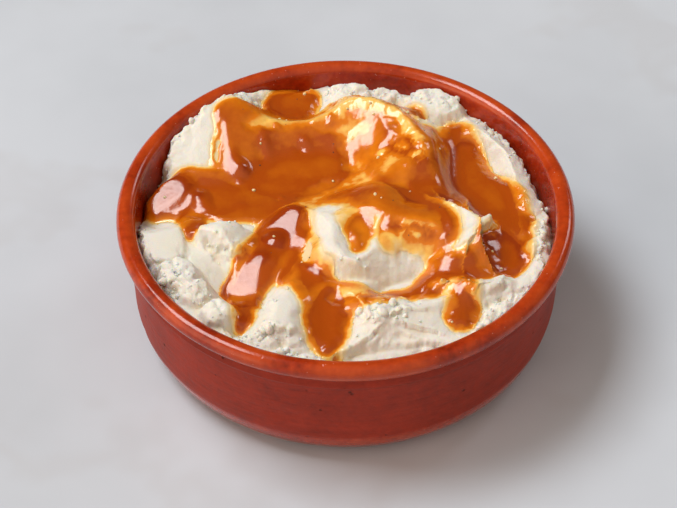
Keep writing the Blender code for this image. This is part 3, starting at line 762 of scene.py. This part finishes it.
class Board:
    """A node tree that is being wired up."""

    def __init__(self, tree):
        self.tree = tree

    def add(self, kind, settings=None, inputs=None, output=0):
        """Adds a node: its settings first, then the values or links of its sockets."""
        node = self.tree.nodes.new(kind)
        for name, value in (settings or {}).items():
            if name == "stops":
                self.set_stops(node.color_ramp.elements, value)
            else:
                setattr(node, name, value)
        for name, value in (inputs or {}).items():
            socket = node.inputs[name]
            if isinstance(value, Wire):
                self.tree.links.new(value.socket, socket)
            elif socket.type == "RGBA":
                socket.default_value = (*value, 1.0)
            else:
                socket.default_value = value
        return Wire(self, node.outputs[output]) if len(node.outputs) else node

    @staticmethod
    def set_stops(elements, stops):
        while len(elements) < len(stops):
            elements.new(1.0)
        for element, (position, colour) in zip(elements, stops):
            element.position = position
            element.color = (*colour, 1.0)

    def place(self):
        return self.add("ShaderNodeTexCoord", output="Object")

    def noise(self, size, detail=3.0, roughness=0.5, place=None, stretch=(1, 1, 1), shift=0.0):
        """Noise of about 0 to 1 whose features have the size given, in metres."""
        centre = self.add("ShaderNodeMapping", None, {
            "Vector": place or self.place(), "Scale": stretch, "Location": (shift,) * 3})
        return self.add("ShaderNodeTexNoise", None, {
            "Vector": centre, "Scale": 1 / size, "Detail": detail, "Roughness": roughness})

    def cells(self, size, place):
        """Distance from the middle of the nearest cell, of cells of the size given."""
        return self.add("ShaderNodeTexVoronoi", None, {"Vector": place, "Scale": 1 / size},
                        output="Distance")

    def attribute(self, name):
        return self.add("ShaderNodeAttribute", {"attribute_name": name}, output="Fac")

    def blend(self, share, first, second):
        return self.add("ShaderNodeMix", {"data_type": "RGBA"},
                        {0: share, 6: first, 7: second}, output=2)

    def ramp(self, value, stops):
        return self.add("ShaderNodeValToRGB", {"stops": stops}, {"Fac": value})

    def bump(self, height, distance):
        return self.add("ShaderNodeBump", None,
                        {"Height": height, "Distance": distance, "Strength": 1.0})

    def finish_surface(self, **inputs):
        """Ends a material in a Principled shader with these inputs."""
        named = {name.replace("_", " "): value for name, value in inputs.items()}
        shader = self.add("ShaderNodeBsdfPrincipled", None, named)
        self.add("ShaderNodeOutputMaterial", None, {"Surface": shader})


def new_material(name):
    material = bpy.data.materials.new(name)
    material.use_nodes = True
    material.node_tree.nodes.clear()
    return material, Board(material.node_tree)


class Recipe:
    """A Geometry Nodes tree with named inputs, run once on an object to give a plain mesh."""

    def __init__(self, name, inputs):
        self.tree = bpy.data.node_groups.new(name, "GeometryNodeTree")
        self.board = Board(self.tree)
        self.values = {}
        face = self.tree.interface
        face.new_socket("Geometry", in_out="INPUT", socket_type="NodeSocketGeometry")
        for label, value in inputs.items():
            kind = ("NodeSocketMaterial" if isinstance(value, bpy.types.Material) else
                    "NodeSocketInt" if isinstance(value, int) else "NodeSocketFloat")
            socket = face.new_socket(label, in_out="INPUT", socket_type=kind)
            self.values[socket.identifier] = value
        face.new_socket("Geometry", in_out="OUTPUT", socket_type="NodeSocketGeometry")
        self.start = self.tree.nodes.new("NodeGroupInput")

    def input(self, label):
        return Wire(self.board, self.start.outputs[label])

    def run(self, geometry, obj):
        """Ends the tree in real geometry with its material, and applies it to the object."""
        real = self.board.add("GeometryNodeRealizeInstances", None, {"Geometry": geometry})
        shown = self.board.add("GeometryNodeSetMaterial", None,
                               {"Geometry": real, "Material": self.input("Material")})
        self.board.add("NodeGroupOutput", None, {"Geometry": shown})
        modifier = obj.modifiers.new(self.tree.name, "NODES")
        modifier.node_group = self.tree
        for identifier, value in self.values.items():
            modifier[identifier] = value
        return plain_mesh(obj)


def finish_piece(obj, node=None):
    """Declares a finished piece: it rides on the one body and may stand for a node."""
    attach(obj, "root")
    if node:
        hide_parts(node)


# ---------------------------------------------------------------- materials


def terracotta_material():
    """Bare pitted clay outside, brown glaze with pale flecks over the rim and the inside."""
    settings = bpy.context.scene.potato_dish
    material, board = new_material("glazed_terracotta")
    place = board.place()
    glazed = board.attribute("glazed")
    cloud = board.noise(0.022, 4, 0.6, place)
    mottle = board.noise(0.0022, 3, 0.6, place)
    grain = board.noise(0.0005, 2, 0.5, place)
    lines = board.noise(0.0011, 2, 0.5, place, stretch=(0.04, 0.04, 1))

    clay_dark = tuple(0.62 * value for value in settings.clay)
    clay_light = tuple(min(1, 1.35 * value) for value in settings.clay)
    clay = board.ramp(cloud * 0.45 + mottle * 0.35 + lines * 0.2,
                      [(0.32, clay_dark), (0.5, tuple(settings.clay)), (0.68, clay_light)])
    pits = 1 - board.cells(0.0042, place).between(0.05, 0.16)
    pits = pits * board.noise(0.006, 2, 0.5, place, shift=4.0).between(0.5, 0.62)
    # The pits are darkened nearly to black in colour: painted shade in the pits.
    clay = board.blend(pits * 0.75, clay, (0.06, 0.012, 0.006))

    glaze_dark = tuple(0.55 * value for value in settings.glaze)
    glaze_light = (0.52, 0.058, 0.008)
    glaze = board.ramp(cloud * 0.6 + mottle * 0.4,
                       [(0.34, glaze_dark), (0.5, tuple(settings.glaze)), (0.7, glaze_light)])
    flecks = 1 - board.cells(0.0016, place).between(0.06, 0.15)
    flecks = flecks * board.noise(0.0035, 2, 0.5, place, shift=9.0).between(0.5, 0.58)
    # The top of the rim is made lighter and more orange: partly thinner glaze over the bead, partly
    # painted light.
    glaze = board.blend(board.attribute("rim") * cloud.between(0.3, 0.6) * 0.45, glaze,
                        (0.56, 0.085, 0.010))
    glaze = board.blend(flecks * 0.30, glaze, (0.78, 0.45, 0.33))

    rough_clay = 0.42 + mottle * 0.2 + pits * 0.2
    rough_glaze = 0.13 + cloud * 0.12 + flecks * 0.2
    height = (mottle * 0.55 + grain * 0.25 + lines * 0.35 - pits * 1.3) * (1 - glazed * 0.7)
    board.finish_surface(
        Base_Color=board.blend(glazed, clay, glaze),
        Roughness=rough_clay * (1 - glazed) + rough_glaze * glazed,
        Normal=board.bump(height - flecks * glazed * 0.2, 0.00022),
        Coat_Weight=glazed * 0.35,
        Coat_Roughness=0.10,
        Specular_IOR_Level=0.25)
    return material


def potato_material():
    """Moist mashed potato, with painted shade that makes the creases between its crumbs darker and
    creamier.
    """
    settings = bpy.context.scene.potato_mash
    material, board = new_material("mashed_potato_flesh")
    place = board.place()
    cloud = board.noise(0.011, 3, 0.55, place)
    fine = board.noise(0.0011, 3, 0.6, place)
    grain = board.noise(0.00042, 2, 0.55, place)
    # Where the mash lies below its surroundings its colour is made darker and creamier: painted
    # shade in the creases.
    crease = board.attribute("crease").between(0.05, 0.9)
    stain = board.attribute("stain").between(0.0, 1.0)
    crumbly = board.attribute("crumbly")
    crease_shade_colour = (0.82, 0.69, 0.45)
    pale = board.blend(cloud.between(0.35, 0.75) * 0.35, tuple(settings.colour),
                       (0.85, 0.79, 0.64))
    pale = board.blend(crease * 0.4, pale, crease_shade_colour)
    pale = board.blend(stain * 0.75, pale, (0.84, 0.62, 0.27))
    board.finish_surface(
        Base_Color=pale,
        Roughness=0.50 + fine * 0.14 + crumbly * 0.12,
        Normal=board.bump(fine * (0.25 + crumbly * 0.4) + grain * 0.35, 0.00042),
        Subsurface_Weight=0.6,
        Subsurface_Radius=(0.0018, 0.0011, 0.0006),
        Subsurface_Scale=1.0,
        Specular_IOR_Level=0.24)
    return material


def gravy_material():
    """Glossy gravy: pale where it thins out over the potato, brown where it is deep."""
    settings = bpy.context.scene.potato_gravy
    material, board = new_material("brown_gravy")
    place = board.place()
    cloud = board.noise(0.009, 3, 0.5, place)
    fine = board.noise(0.0016, 3, 0.6, place)
    depth = board.attribute("depth") * (0.82 + cloud * 0.36) + (fine - 0.5) * 0.12
    deep, golden = tuple(settings.deep), tuple(settings.golden)
    amber = tuple(0.5 * (a + b) for a, b in zip(deep, golden))
    # Past the deep colour the ramp darkens to its darkest brown: partly deep gravy, partly painted
    # shade.
    colour = board.ramp(depth / DARKEST_DEPTH, [
        (0.0, (0.92, 0.77, 0.50)), (0.045, (0.90, 0.56, 0.13)), (0.12, golden),
        (0.30, amber), (0.52, deep), (0.8, deep), (1.0, (0.30, 0.038, 0.001))])
    board.finish_surface(
        Base_Color=colour,
        Roughness=0.10 + cloud * 0.07,
        Normal=board.bump(fine * 0.6 + cloud, 0.00010),
        Subsurface_Weight=0.12,
        Subsurface_Radius=(0.0020, 0.0009, 0.0003),
        Subsurface_Scale=1.0,
        Coat_Weight=0.25,
        Coat_Roughness=0.04,
        Specular_IOR_Level=0.42)
    return material


def pepper_material():
    material, board = new_material("black_pepper")
    fine = board.noise(0.0003, 2, 0.5)
    board.finish_surface(
        Base_Color=board.blend(fine, (0.018, 0.010, 0.006), (0.11, 0.055, 0.022)),
        Roughness=0.35 + fine * 0.2)
    return material


def stone_material():
    """Pale blue-grey stone with soft clouds and a few faint veins."""
    settings = bpy.context.scene.potato_stage
    material, board = new_material("pale_stone")
    place = board.place()
    cloud = board.noise(0.16, 4, 0.6, place)
    vein = board.noise(0.24, 5, 0.6, place, shift=2.0)
    vein = 1 - (vein - 0.5).without_sign().between(0.0, 0.035)
    light = tuple(min(1, 1.13 * value) for value in settings.floor)
    colour = board.blend(cloud.between(0.3, 0.7), tuple(settings.floor), light)
    colour = board.blend(vein * 0.14, colour, (0.42, 0.41, 0.42))
    board.finish_surface(
        Base_Color=colour,
        Roughness=0.45 + cloud * 0.1,
        Specular_IOR_Level=0.3)
    return material


# ---------------------------------------------------------------- operators


class MakeDish(bpy.types.Operator):
    """Turn the terracotta dish, with the potter's marks and pits"""

    bl_idname = "potato_side.make_dish"
    bl_label = "Dish"

    def execute(self, context):
        settings = context.scene.potato_dish
        mesh = bpy.data.meshes.new("dish_profile")
        profile = dish_profile()
        mesh.from_pydata([(r * MM, 0, z * MM) for r, z in profile],
                         [(i, i + 1) for i in range(len(profile) - 1)], [])
        dish = new_object("terracotta_dish", mesh)
        recipe = Recipe("Turned Dish", {"Steps": settings.steps,
                                        "Points": len(profile),
                                        "Material": terracotta_material()})
        board, steps, points = recipe.board, recipe.input("Steps"), recipe.input("Points")
        sheet = board.add("GeometryNodeMeshGrid", None,
                          {"Vertices X": steps + 1, "Vertices Y": points})
        index = board.add("GeometryNodeInputIndex")
        step = (index / points).whole_part()
        along = index - step * points
        position = board.add("GeometryNodeInputPosition")
        outline = board.add("GeometryNodeSampleIndex", {"data_type": "FLOAT_VECTOR"},
                            {"Geometry": recipe.input("Geometry"), "Value": position,
                             "Index": along})
        spun = board.add("ShaderNodeVectorRotate", {"rotation_type": "Z_AXIS"},
                         {"Vector": outline, "Angle": step / steps * (2 * pi)})
        turned = board.add("GeometryNodeSetPosition", None,
                           {"Geometry": sheet, "Position": spun})
        closed = board.add("GeometryNodeMergeByDistance", None,
                           {"Geometry": turned, "Distance": 0.000005})
        recipe.run(closed, dish)
        work_clay(dish.data, settings)
        finish_piece(dish, "dish")
        return {"FINISHED"}


class MakeMash(bpy.types.Operator):
    """Model the spooned mashed potato with its torn, crumbly edges"""

    bl_idname = "potato_side.make_mash"
    bl_label = "Mashed Potato"

    def execute(self, context):
        points, torn, *_ = mash_surface()
        reach = gravy_surface()[1]
        mash = new_object("mashed_potato_heap", mash_mesh(points))
        count = len(mash.data.vertices)
        flat = points[..., 2]
        # The crease values let the potato material paint shade into the creases.
        for name, values in (("crumbly", torn), ("crease", crease_of(points)),
                             ("stain", np.clip(1 + reach / 1.6, 0, 1)),
                             ("bare", smooth_step(-reach, 0.2, 1.2) * torn)):
            whole = np.zeros(count)
            whole[:flat.size] = values.ravel()
            set_attribute(mash.data, name, whole)
        mash.data.materials.append(potato_material())
        finish_piece(mash, "mashed_potato")
        return {"FINISHED"}


class MakeGravy(bpy.types.Operator):
    """Pour the gravy: thin over the crests, deep in the hollows"""

    bl_idname = "potato_side.make_gravy"
    bl_label = "Gravy"

    def execute(self, context):
        gravy = new_object("poured_gravy", gravy_mesh())
        gravy.data.materials.append(gravy_material())
        finish_piece(gravy, "gravy")
        return {"FINISHED"}


class MakeLumps(bpy.types.Operator):
    """Heap small torn lumps of potato along the rough edges"""

    bl_idname = "potato_side.make_lumps"
    bl_label = "Torn Lumps"

    def execute(self, context):
        scatter_potato("potato_lumps", "mashed_potato_heap", "bare",
                       context.scene.potato_mash.lumps, 10, (0.00100, 0.00220), 4)
        return {"FINISHED"}


class MakeCrumbs(bpy.types.Operator):
    """Scatter loose crumbs of potato along the torn edges"""

    bl_idname = "potato_side.make_crumbs"
    bl_label = "Loose Crumbs"

    def execute(self, context):
        scatter_potato("potato_crumbs", "mashed_potato_heap", "bare",
                       context.scene.potato_mash.loose, 6, (0.00022, 0.00070), 5)
        return {"FINISHED"}


class MakeStrayBits(bpy.types.Operator):
    """Drop a few small bits of potato on the gravy"""

    bl_idname = "potato_side.make_stray_bits"
    bl_label = "Stray Bits"

    def execute(self, context):
        scatter_potato("stray_bits", "poured_gravy", "top",
                       context.scene.potato_gravy.bits, 6, (0.00035, 0.00090), 8)
        return {"FINISHED"}


class MakeSpecks(bpy.types.Operator):
    """Float flakes of pepper in the gravy"""

    bl_idname = "potato_side.make_specks"
    bl_label = "Pepper"

    def execute(self, context):
        scatter("pepper_flakes", "poured_gravy", "top", 1.8 * context.scene.potato_gravy.specks,
                6, (0.00014, 0.00040), (3, 21, 22), (0.00020, 0.00010), pepper_material())
        finish_piece(bpy.data.objects["pepper_flakes"])
        return {"FINISHED"}


class MakeStage(bpy.types.Operator):
    """Set the stone surface, the window light and the camera"""

    bl_idname = "potato_side.make_stage"
    bl_label = "Stage"

    def execute(self, context):
        settings = context.scene.potato_stage
        mesh = bpy.data.meshes.new("stone_surface")
        reach = 3.0
        mesh.from_pydata([(-reach, -reach, 0), (reach, -reach, 0), (reach, reach, 0),
                          (-reach, reach, 0)], [], [(0, 1, 2, 3)])
        floor = new_object("stone_surface", mesh)
        mesh.materials.append(stone_material())

        window_light("window", (-1.896, 0.72, 3.444), (2.07, 1.67), settings.key,
                     (1.0, 0.99, 0.97))
        window_light("far_window", (1.8, 1.8, 1.5), (0.5, 0.9), 0.06 * settings.key,
                     (0.93, 0.96, 1.0))

        world = bpy.data.worlds.new("soft_room")
        world.use_nodes = True
        world.node_tree.nodes.clear()
        board = Board(world.node_tree)
        direction = board.add("ShaderNodeTexCoord", output="Generated")
        toward_front = board.add("ShaderNodeVectorMath", {"operation": "DOT_PRODUCT"},
                                 {0: direction, 1: (0.0, -0.8, 0.25)}, output="Value")
        toward_left = board.add("ShaderNodeVectorMath", {"operation": "DOT_PRODUCT"},
                                {0: direction, 1: (-0.94, -0.30, 0.16)}, output="Value")
        share = (0.12 + toward_front.between(-0.35, 0.75) * 0.88
                 + toward_left.between(0.72, 0.95) * 2.2)
        room = board.add("ShaderNodeBackground", None,
                         {"Color": (1.0, 0.81, 0.66), "Strength": share * settings.sky})
        board.add("ShaderNodeOutputWorld", None, {"Surface": room})
        context.scene.world = world

        camera = new_object("camera", bpy.data.cameras.new("camera"))
        target = Vector(CAMERA_TARGET)
        camera.location = target + CAMERA_DISTANCE * Vector(
            (0, -cos(CAMERA_TILT), sin(CAMERA_TILT)))
        camera.rotation_euler = (pi / 2 - CAMERA_TILT, 0, 0)
        camera.data.lens = CAMERA_LENS
        camera.data.sensor_width = 36
        context.scene.camera = camera
        context.scene.view_settings.view_transform = "Standard"
        return {"FINISHED"}


# ---------------------------------------------------------------- parts of the pieces


def arc(centre, radii, start, end, steps):
    """Points (radius, height) along an arc of an ellipse, from start to end in degrees."""
    turn = np.radians(np.linspace(start, end, steps + 1))
    return list(zip(centre[0] + radii[0] * np.cos(turn), centre[1] + radii[1] * np.sin(turn)))


def refined(profile, longest):
    """The profile with its long straights divided."""
    points = [profile[0]]
    for start, end in zip(profile, profile[1:]):
        length = np.hypot(end[0] - start[0], end[1] - start[1])
        count = max(1, int(np.ceil(length / longest)))
        points += [(start[0] + (end[0] - start[0]) * i / count,
                    start[1] + (end[1] - start[1]) * i / count) for i in range(1, count + 1)]
    return points


def dish_profile():
    """The dish's section as (radius, height) in mm, from the middle of its floor to its base."""
    bead = (DISH_RADIUS - RIM_BEAD_RADIUS, DISH_HEIGHT - RIM_BEAD_RADIUS)
    round_bead = (RIM_BEAD_RADIUS, RIM_BEAD_RADIUS)
    curve_top = FLOOR_THICKNESS + INNER_CURVE_RADIUS
    inner = ([(0, FLOOR_THICKNESS)]
             + arc((INNER_LOW_RADIUS - INNER_CURVE_RADIUS, curve_top),
                   (INNER_CURVE_RADIUS, INNER_CURVE_RADIUS), -90, 0, 6)
             + [(INNER_TOP_RADIUS, NECK_HEIGHT)])
    rim = arc(bead, round_bead, 180, -60, 22)
    neck = [(NECK_RADIUS, NECK_HEIGHT),
            (NECK_RADIUS + 0.35, NECK_HEIGHT - 1.2),
            (SHOULDER_RADIUS - 0.2, SHOULDER_HEIGHT + 0.6),
            (SHOULDER_RADIUS, SHOULDER_HEIGHT),
            (SHOULDER_RADIUS - 0.3, SHOULDER_HEIGHT - 0.6),
            (WALL_RADIUS + 0.3, SHOULDER_HEIGHT - 1.6)]
    foot = arc((FOOT_RADIUS, FOOT_CURVE_HEIGHT),
               (WALL_RADIUS - FOOT_RADIUS, FOOT_CURVE_HEIGHT), 0, -90, 14)
    wall = refined([neck[-1], foot[0]], 1.2)
    return inner + refined(rim, 0.7) + neck + wall[1:] + foot[1:] + [(0, 0)]


def work_clay(mesh, settings):
    """Gives the turned dish its unevenness, its dents and the line where the glaze ends."""
    count = len(mesh.vertices)
    places = np.empty(count * 3)
    mesh.vertices.foreach_get("co", places)
    places = places.reshape(-1, 3)
    radius = np.hypot(places[:, 0], places[:, 1])
    height = places[:, 2]
    outward = places[:, :2] / np.maximum(radius, 1e-6)[:, None]
    slow = soft_noise(places / MM * (1, 1, 0.4), 38.0, 3.3, 2)
    rings = soft_noise(np.stack([outward[:, 0] * 2, outward[:, 1] * 2, height / MM], 1),
                       2.6, 6.1, 2)
    free = (radius > 0.05) & (height > 0.002)
    shift = settings.wobble * (slow + 0.5 * rings - 1.5) * free
    angle = np.degrees(np.arctan2(places[:, 1], places[:, 0]))
    for at, level, spread, depth in DENTS:
        across = ((angle - at + 180) % 360 - 180) * pi / 180 * radius
        away = np.hypot(across, height - level * MM) / (spread * MM)
        shift -= depth * MM * np.exp(-away ** 2) * (radius > OUTER_SKIN_RADIUS * MM)
    shift = np.minimum(shift, 0)
    places[:, :2] += outward * shift[:, None]
    mesh.vertices.foreach_set("co", places.ravel())
    edge = (NECK_HEIGHT + 1.0) * MM + 0.0006 * slow
    inside = radius < (INNER_TOP_RADIUS + 2.2) * MM
    glazed = np.where(inside & (height > 0.004), 1.0, np.clip((height - edge) / 0.0008, 0, 1))
    set_attribute(mesh, "glazed", glazed)
    # rim: the top of the bead, whose glaze is made lighter there: partly thinner glaze, partly
    # painted light.
    above_neck = np.clip((height / MM - NECK_HEIGHT - 0.5) / 3, 0, 1)
    set_attribute(mesh, "rim", above_neck * (radius > RIM_SKIN_RADIUS * MM))
    mesh.polygons.foreach_set("use_smooth", np.ones(len(mesh.polygons), dtype=bool))
    mesh.update()


def mash_mesh(points):
    """The mash: its modelled top, closed by a skirt down to the dish's floor."""
    index = np.arange(ROWS * ROWS).reshape(ROWS, ROWS)
    faces = grid_faces(index)
    ring = np.concatenate([index[0, :-1], index[:-1, -1], index[-1, :0:-1], index[:0:-1, 0]])
    cloud = [points.reshape(-1, 3)]
    edge = points.reshape(-1, 3)[ring]
    spoke = edge[:, :2] / np.linalg.norm(edge[:, :2], axis=1, keepdims=True)
    everything = [faces]
    above, below = ring, ROWS * ROWS + np.arange(len(ring))
    curve_top = FLOOR_THICKNESS + INNER_CURVE_RADIUS
    floor_top = FLOOR_THICKNESS + MASH_CLEARANCE
    for radius, height in ((INNER_LOW_RADIUS - MASH_CLEARANCE, curve_top),
                           (INNER_LOW_RADIUS - 3.4, FLOOR_THICKNESS + 3.2),
                           (INNER_LOW_RADIUS - INNER_CURVE_RADIUS, floor_top)):
        cloud.append(np.column_stack([spoke * radius, np.full(len(ring), height)]))
        everything.append(np.stack([above, below, np.roll(below, -1), np.roll(above, -1)],
                                   axis=1))
        above, below = below, below + len(ring)
    cloud.append(np.array([[0, 0, floor_top]]))
    centre = above[-1] + 1
    fan = np.stack([np.roll(above, -1), above, np.full(len(ring), centre)], axis=1)
    mesh = bpy.data.meshes.new("mashed_potato_heap")
    mesh.from_pydata((np.concatenate(cloud) * MM).tolist(), [],
                     np.concatenate(everything).tolist() + fan.tolist())
    mesh.polygons.foreach_set("use_smooth", np.ones(len(mesh.polygons), dtype=bool))
    mesh.update()
    return mesh


def crease_of(points):
    """How far each point of the surface lies below its surroundings, in mm."""
    z = points[..., 2]
    around = np.pad(z, 4, mode="edge")
    total = sum(around[4 + i:4 + i + ROWS, 4 + j:4 + j + ROWS]
                for i in (-4, 0, 4) for j in (-4, 0, 4))
    return total / 9 - z


def gravy_mesh():
    """One closed skin: the gravy's top over a plain underside that lies in the mash."""
    points = mash_surface()[0]
    gravy, reach = gravy_surface()
    used = reach > OUTER_REACH
    index = np.where(used, np.cumsum(used).reshape(used.shape) - 1, -1)
    faces = grid_faces(index)
    kept = points[used]
    upper = np.column_stack([kept[:, :2], gravy[used]])
    lower = upper - (0, 0, 1.6)
    lower[:, 2] = np.minimum(lower[:, 2], kept[:, 2] - 0.5)
    solid = [*faces, *edge_loop_faces(faces, len(upper)), *coarse_underside(index, len(upper))]
    needed, order = np.unique(np.concatenate(solid), return_inverse=True)
    parts = np.split(order, np.cumsum([len(face) for face in solid])[:-1])
    mesh = bpy.data.meshes.new("poured_gravy")
    mesh.from_pydata((np.concatenate([upper, lower])[needed] * MM).tolist(), [],
                     [part.tolist() for part in parts])
    mesh.polygons.foreach_set("use_smooth", np.ones(len(mesh.polygons), dtype=bool))
    depth = (gravy[used] - kept[:, 2]) * grid_normals(points)[used][:, 2]
    thin = np.clip(depth, 0, None)
    set_attribute(mesh, "depth", np.concatenate([thin, thin])[needed])
    top = (reach[used] > 0.8).astype(float)
    set_attribute(mesh, "top", np.concatenate([top, np.zeros(len(top))])[needed])
    set_attribute(mesh, "stain", np.ones(len(needed)))
    mesh.update()
    return mesh


def coarse_underside(index, offset, step=6):
    """Faces of the underside: a fan for each whole block of cells, and single cells elsewhere."""
    faces = []
    for row in range(0, ROWS - 1, step):
        for column in range(0, ROWS - 1, step):
            block = index[row:row + step + 1, column:column + step + 1]
            if (block >= 0).all():
                around = np.concatenate([block[0, :-1], block[:-1, -1], block[-1, :0:-1],
                                         block[:0:-1, 0]])
                middle = np.full(len(around), block[block.shape[0] // 2, block.shape[1] // 2])
                faces += list(np.stack([np.roll(around, -1), around, middle], axis=1) + offset)
            else:
                faces += list(grid_faces(block)[:, ::-1] + offset)
    return faces


def crumb_shape(board, segments):
    """A rounded crumb just under 2 across, of a few dozen faces."""
    ball = board.add("GeometryNodeMeshUVSphere", None,
                     {"Segments": segments, "Rings": segments * 2 // 3, "Radius": 1.0})
    return board.add("GeometryNodeTransform", None,
                     {"Geometry": ball, "Scale": (0.95, 0.78, 0.62)})


def scatter(name, source, where, count, segments, sizes, seeds, knobs, material):
    """Rounded pieces sunk halfway into the source, where its attribute is set.

    The seeds are for the places, sizes and turns, and the knobs the size and height in metres of
    the unevenness. The count is what the whole helping would hold.
    """
    pieces = new_object(name, bpy.data.objects[source].data.copy())
    recipe = Recipe(name, {"Density": count / (pi * (SHEET_RADIUS * MM) ** 2),
                           "Smallest": sizes[0], "Largest": sizes[1], "Seed": seeds[0],
                           "Material": material})
    board = recipe.board
    share = board.add("GeometryNodeInputNamedAttribute", {"data_type": "FLOAT"}, {"Name": where})
    spread = board.add("GeometryNodeDistributePointsOnFaces", None,
                       {"Mesh": recipe.input("Geometry"), "Seed": recipe.input("Seed"),
                        "Density": recipe.input("Density") * share})
    size = board.add("FunctionNodeRandomValue", {"data_type": "FLOAT"},
                     {2: recipe.input("Smallest"), 3: recipe.input("Largest"), "Seed": seeds[1]},
                     output=1)
    turn = board.add("FunctionNodeRandomValue", {"data_type": "FLOAT_VECTOR"},
                     {"Min": (0, 0, 0), "Max": (2 * pi,) * 3, "Seed": seeds[2]})
    placed = board.add("GeometryNodeInstanceOnPoints", None,
                       {"Points": spread, "Instance": crumb_shape(board, segments),
                        "Rotation": turn, "Scale": size})
    recipe.run(roughened(board, placed, *knobs), pieces)


def scatter_potato(name, source, where, count, segments, sizes, seed):
    """Scatters pieces of potato; the torn edges are about a third of the helping."""
    material = bpy.data.objects["mashed_potato_heap"].data.materials[0]
    scatter(name, source, where, 3.2 * count, segments, sizes, (seed, 11, 12),
            (0.4 * sizes[1], 0.22 * sizes[1]), material)
    finish_piece(bpy.data.objects[name])


def roughened(board, geometry, size, push):
    """Makes copies real and shifts their points by noise, so that no two look alike."""
    real = board.add("GeometryNodeRealizeInstances", None, {"Geometry": geometry})
    offset = board.add("ShaderNodeTexNoise", None, {"Scale": 1 / size, "Detail": 1.0},
                       output="Color")
    centred = board.add("ShaderNodeVectorMath", {"operation": "SUBTRACT"},
                        {0: offset, 1: (0.5, 0.5, 0.5)})
    moved = board.add("ShaderNodeVectorMath", {"operation": "SCALE"},
                      {0: centred, "Scale": 2 * push})
    shaped = board.add("GeometryNodeSetPosition", None, {"Geometry": real, "Offset": moved})
    return board.add("GeometryNodeSetShadeSmooth", None, {"Geometry": shaped})


def window_light(name, place, size, power, colour):
    """A soft rectangular light that faces the dish."""
    light = bpy.data.lights.new(name, "AREA")
    light.shape = "RECTANGLE"
    light.size, light.size_y = size
    light.energy = power
    light.color = colour
    lamp = new_object(name, light)
    lamp.location = place
    lamp.rotation_euler = (-Vector(place)).to_track_quat("-Z", "Y").to_euler()


class PotatoSidePanel(bpy.types.Panel):
    """The pieces of the side dish, in the order in which they are made"""

    bl_idname = "VIEW3D_PT_potato_side"
    bl_label = "Potato Side"
    bl_space_type = "VIEW_3D"
    bl_region_type = "UI"
    bl_category = "Potato Side"

    def draw(self, context):
        for group, operators in PANEL_GROUPS:
            box = self.layout.box()
            settings = getattr(context.scene, group)
            for name in settings.__annotations__:
                box.prop(settings, name)
            for operator in operators:
                box.operator(operator.bl_idname)


OPERATORS = [MakeStage, MakeDish, MakeMash, MakeGravy, MakeLumps, MakeCrumbs, MakeStrayBits,
             MakeSpecks]
PANEL_GROUPS = [("potato_dish", [MakeDish]), ("potato_mash", [MakeMash, MakeLumps, MakeCrumbs]),
                ("potato_gravy", [MakeGravy, MakeStrayBits, MakeSpecks]),
                ("potato_stage", [MakeStage])]
GROUPS = {"potato_dish": DishSettings, "potato_mash": MashSettings,
          "potato_gravy": GravySettings, "potato_stage": StageSettings}
CLASSES = [*GROUPS.values(), *OPERATORS, PotatoSidePanel]


def register():
    for cls in CLASSES:
        bpy.utils.register_class(cls)
    for name, group in GROUPS.items():
        setattr(bpy.types.Scene, name, PointerProperty(type=group))


def unregister():
    for name in GROUPS:
        delattr(bpy.types.Scene, name)
    for cls in reversed(CLASSES):
        bpy.utils.unregister_class(cls)


def main():
    register()
    for operator in OPERATORS:
        group, name = operator.bl_idname.split(".")
        getattr(getattr(bpy.ops, group), name)()


if __name__ == "__main__":
    main()
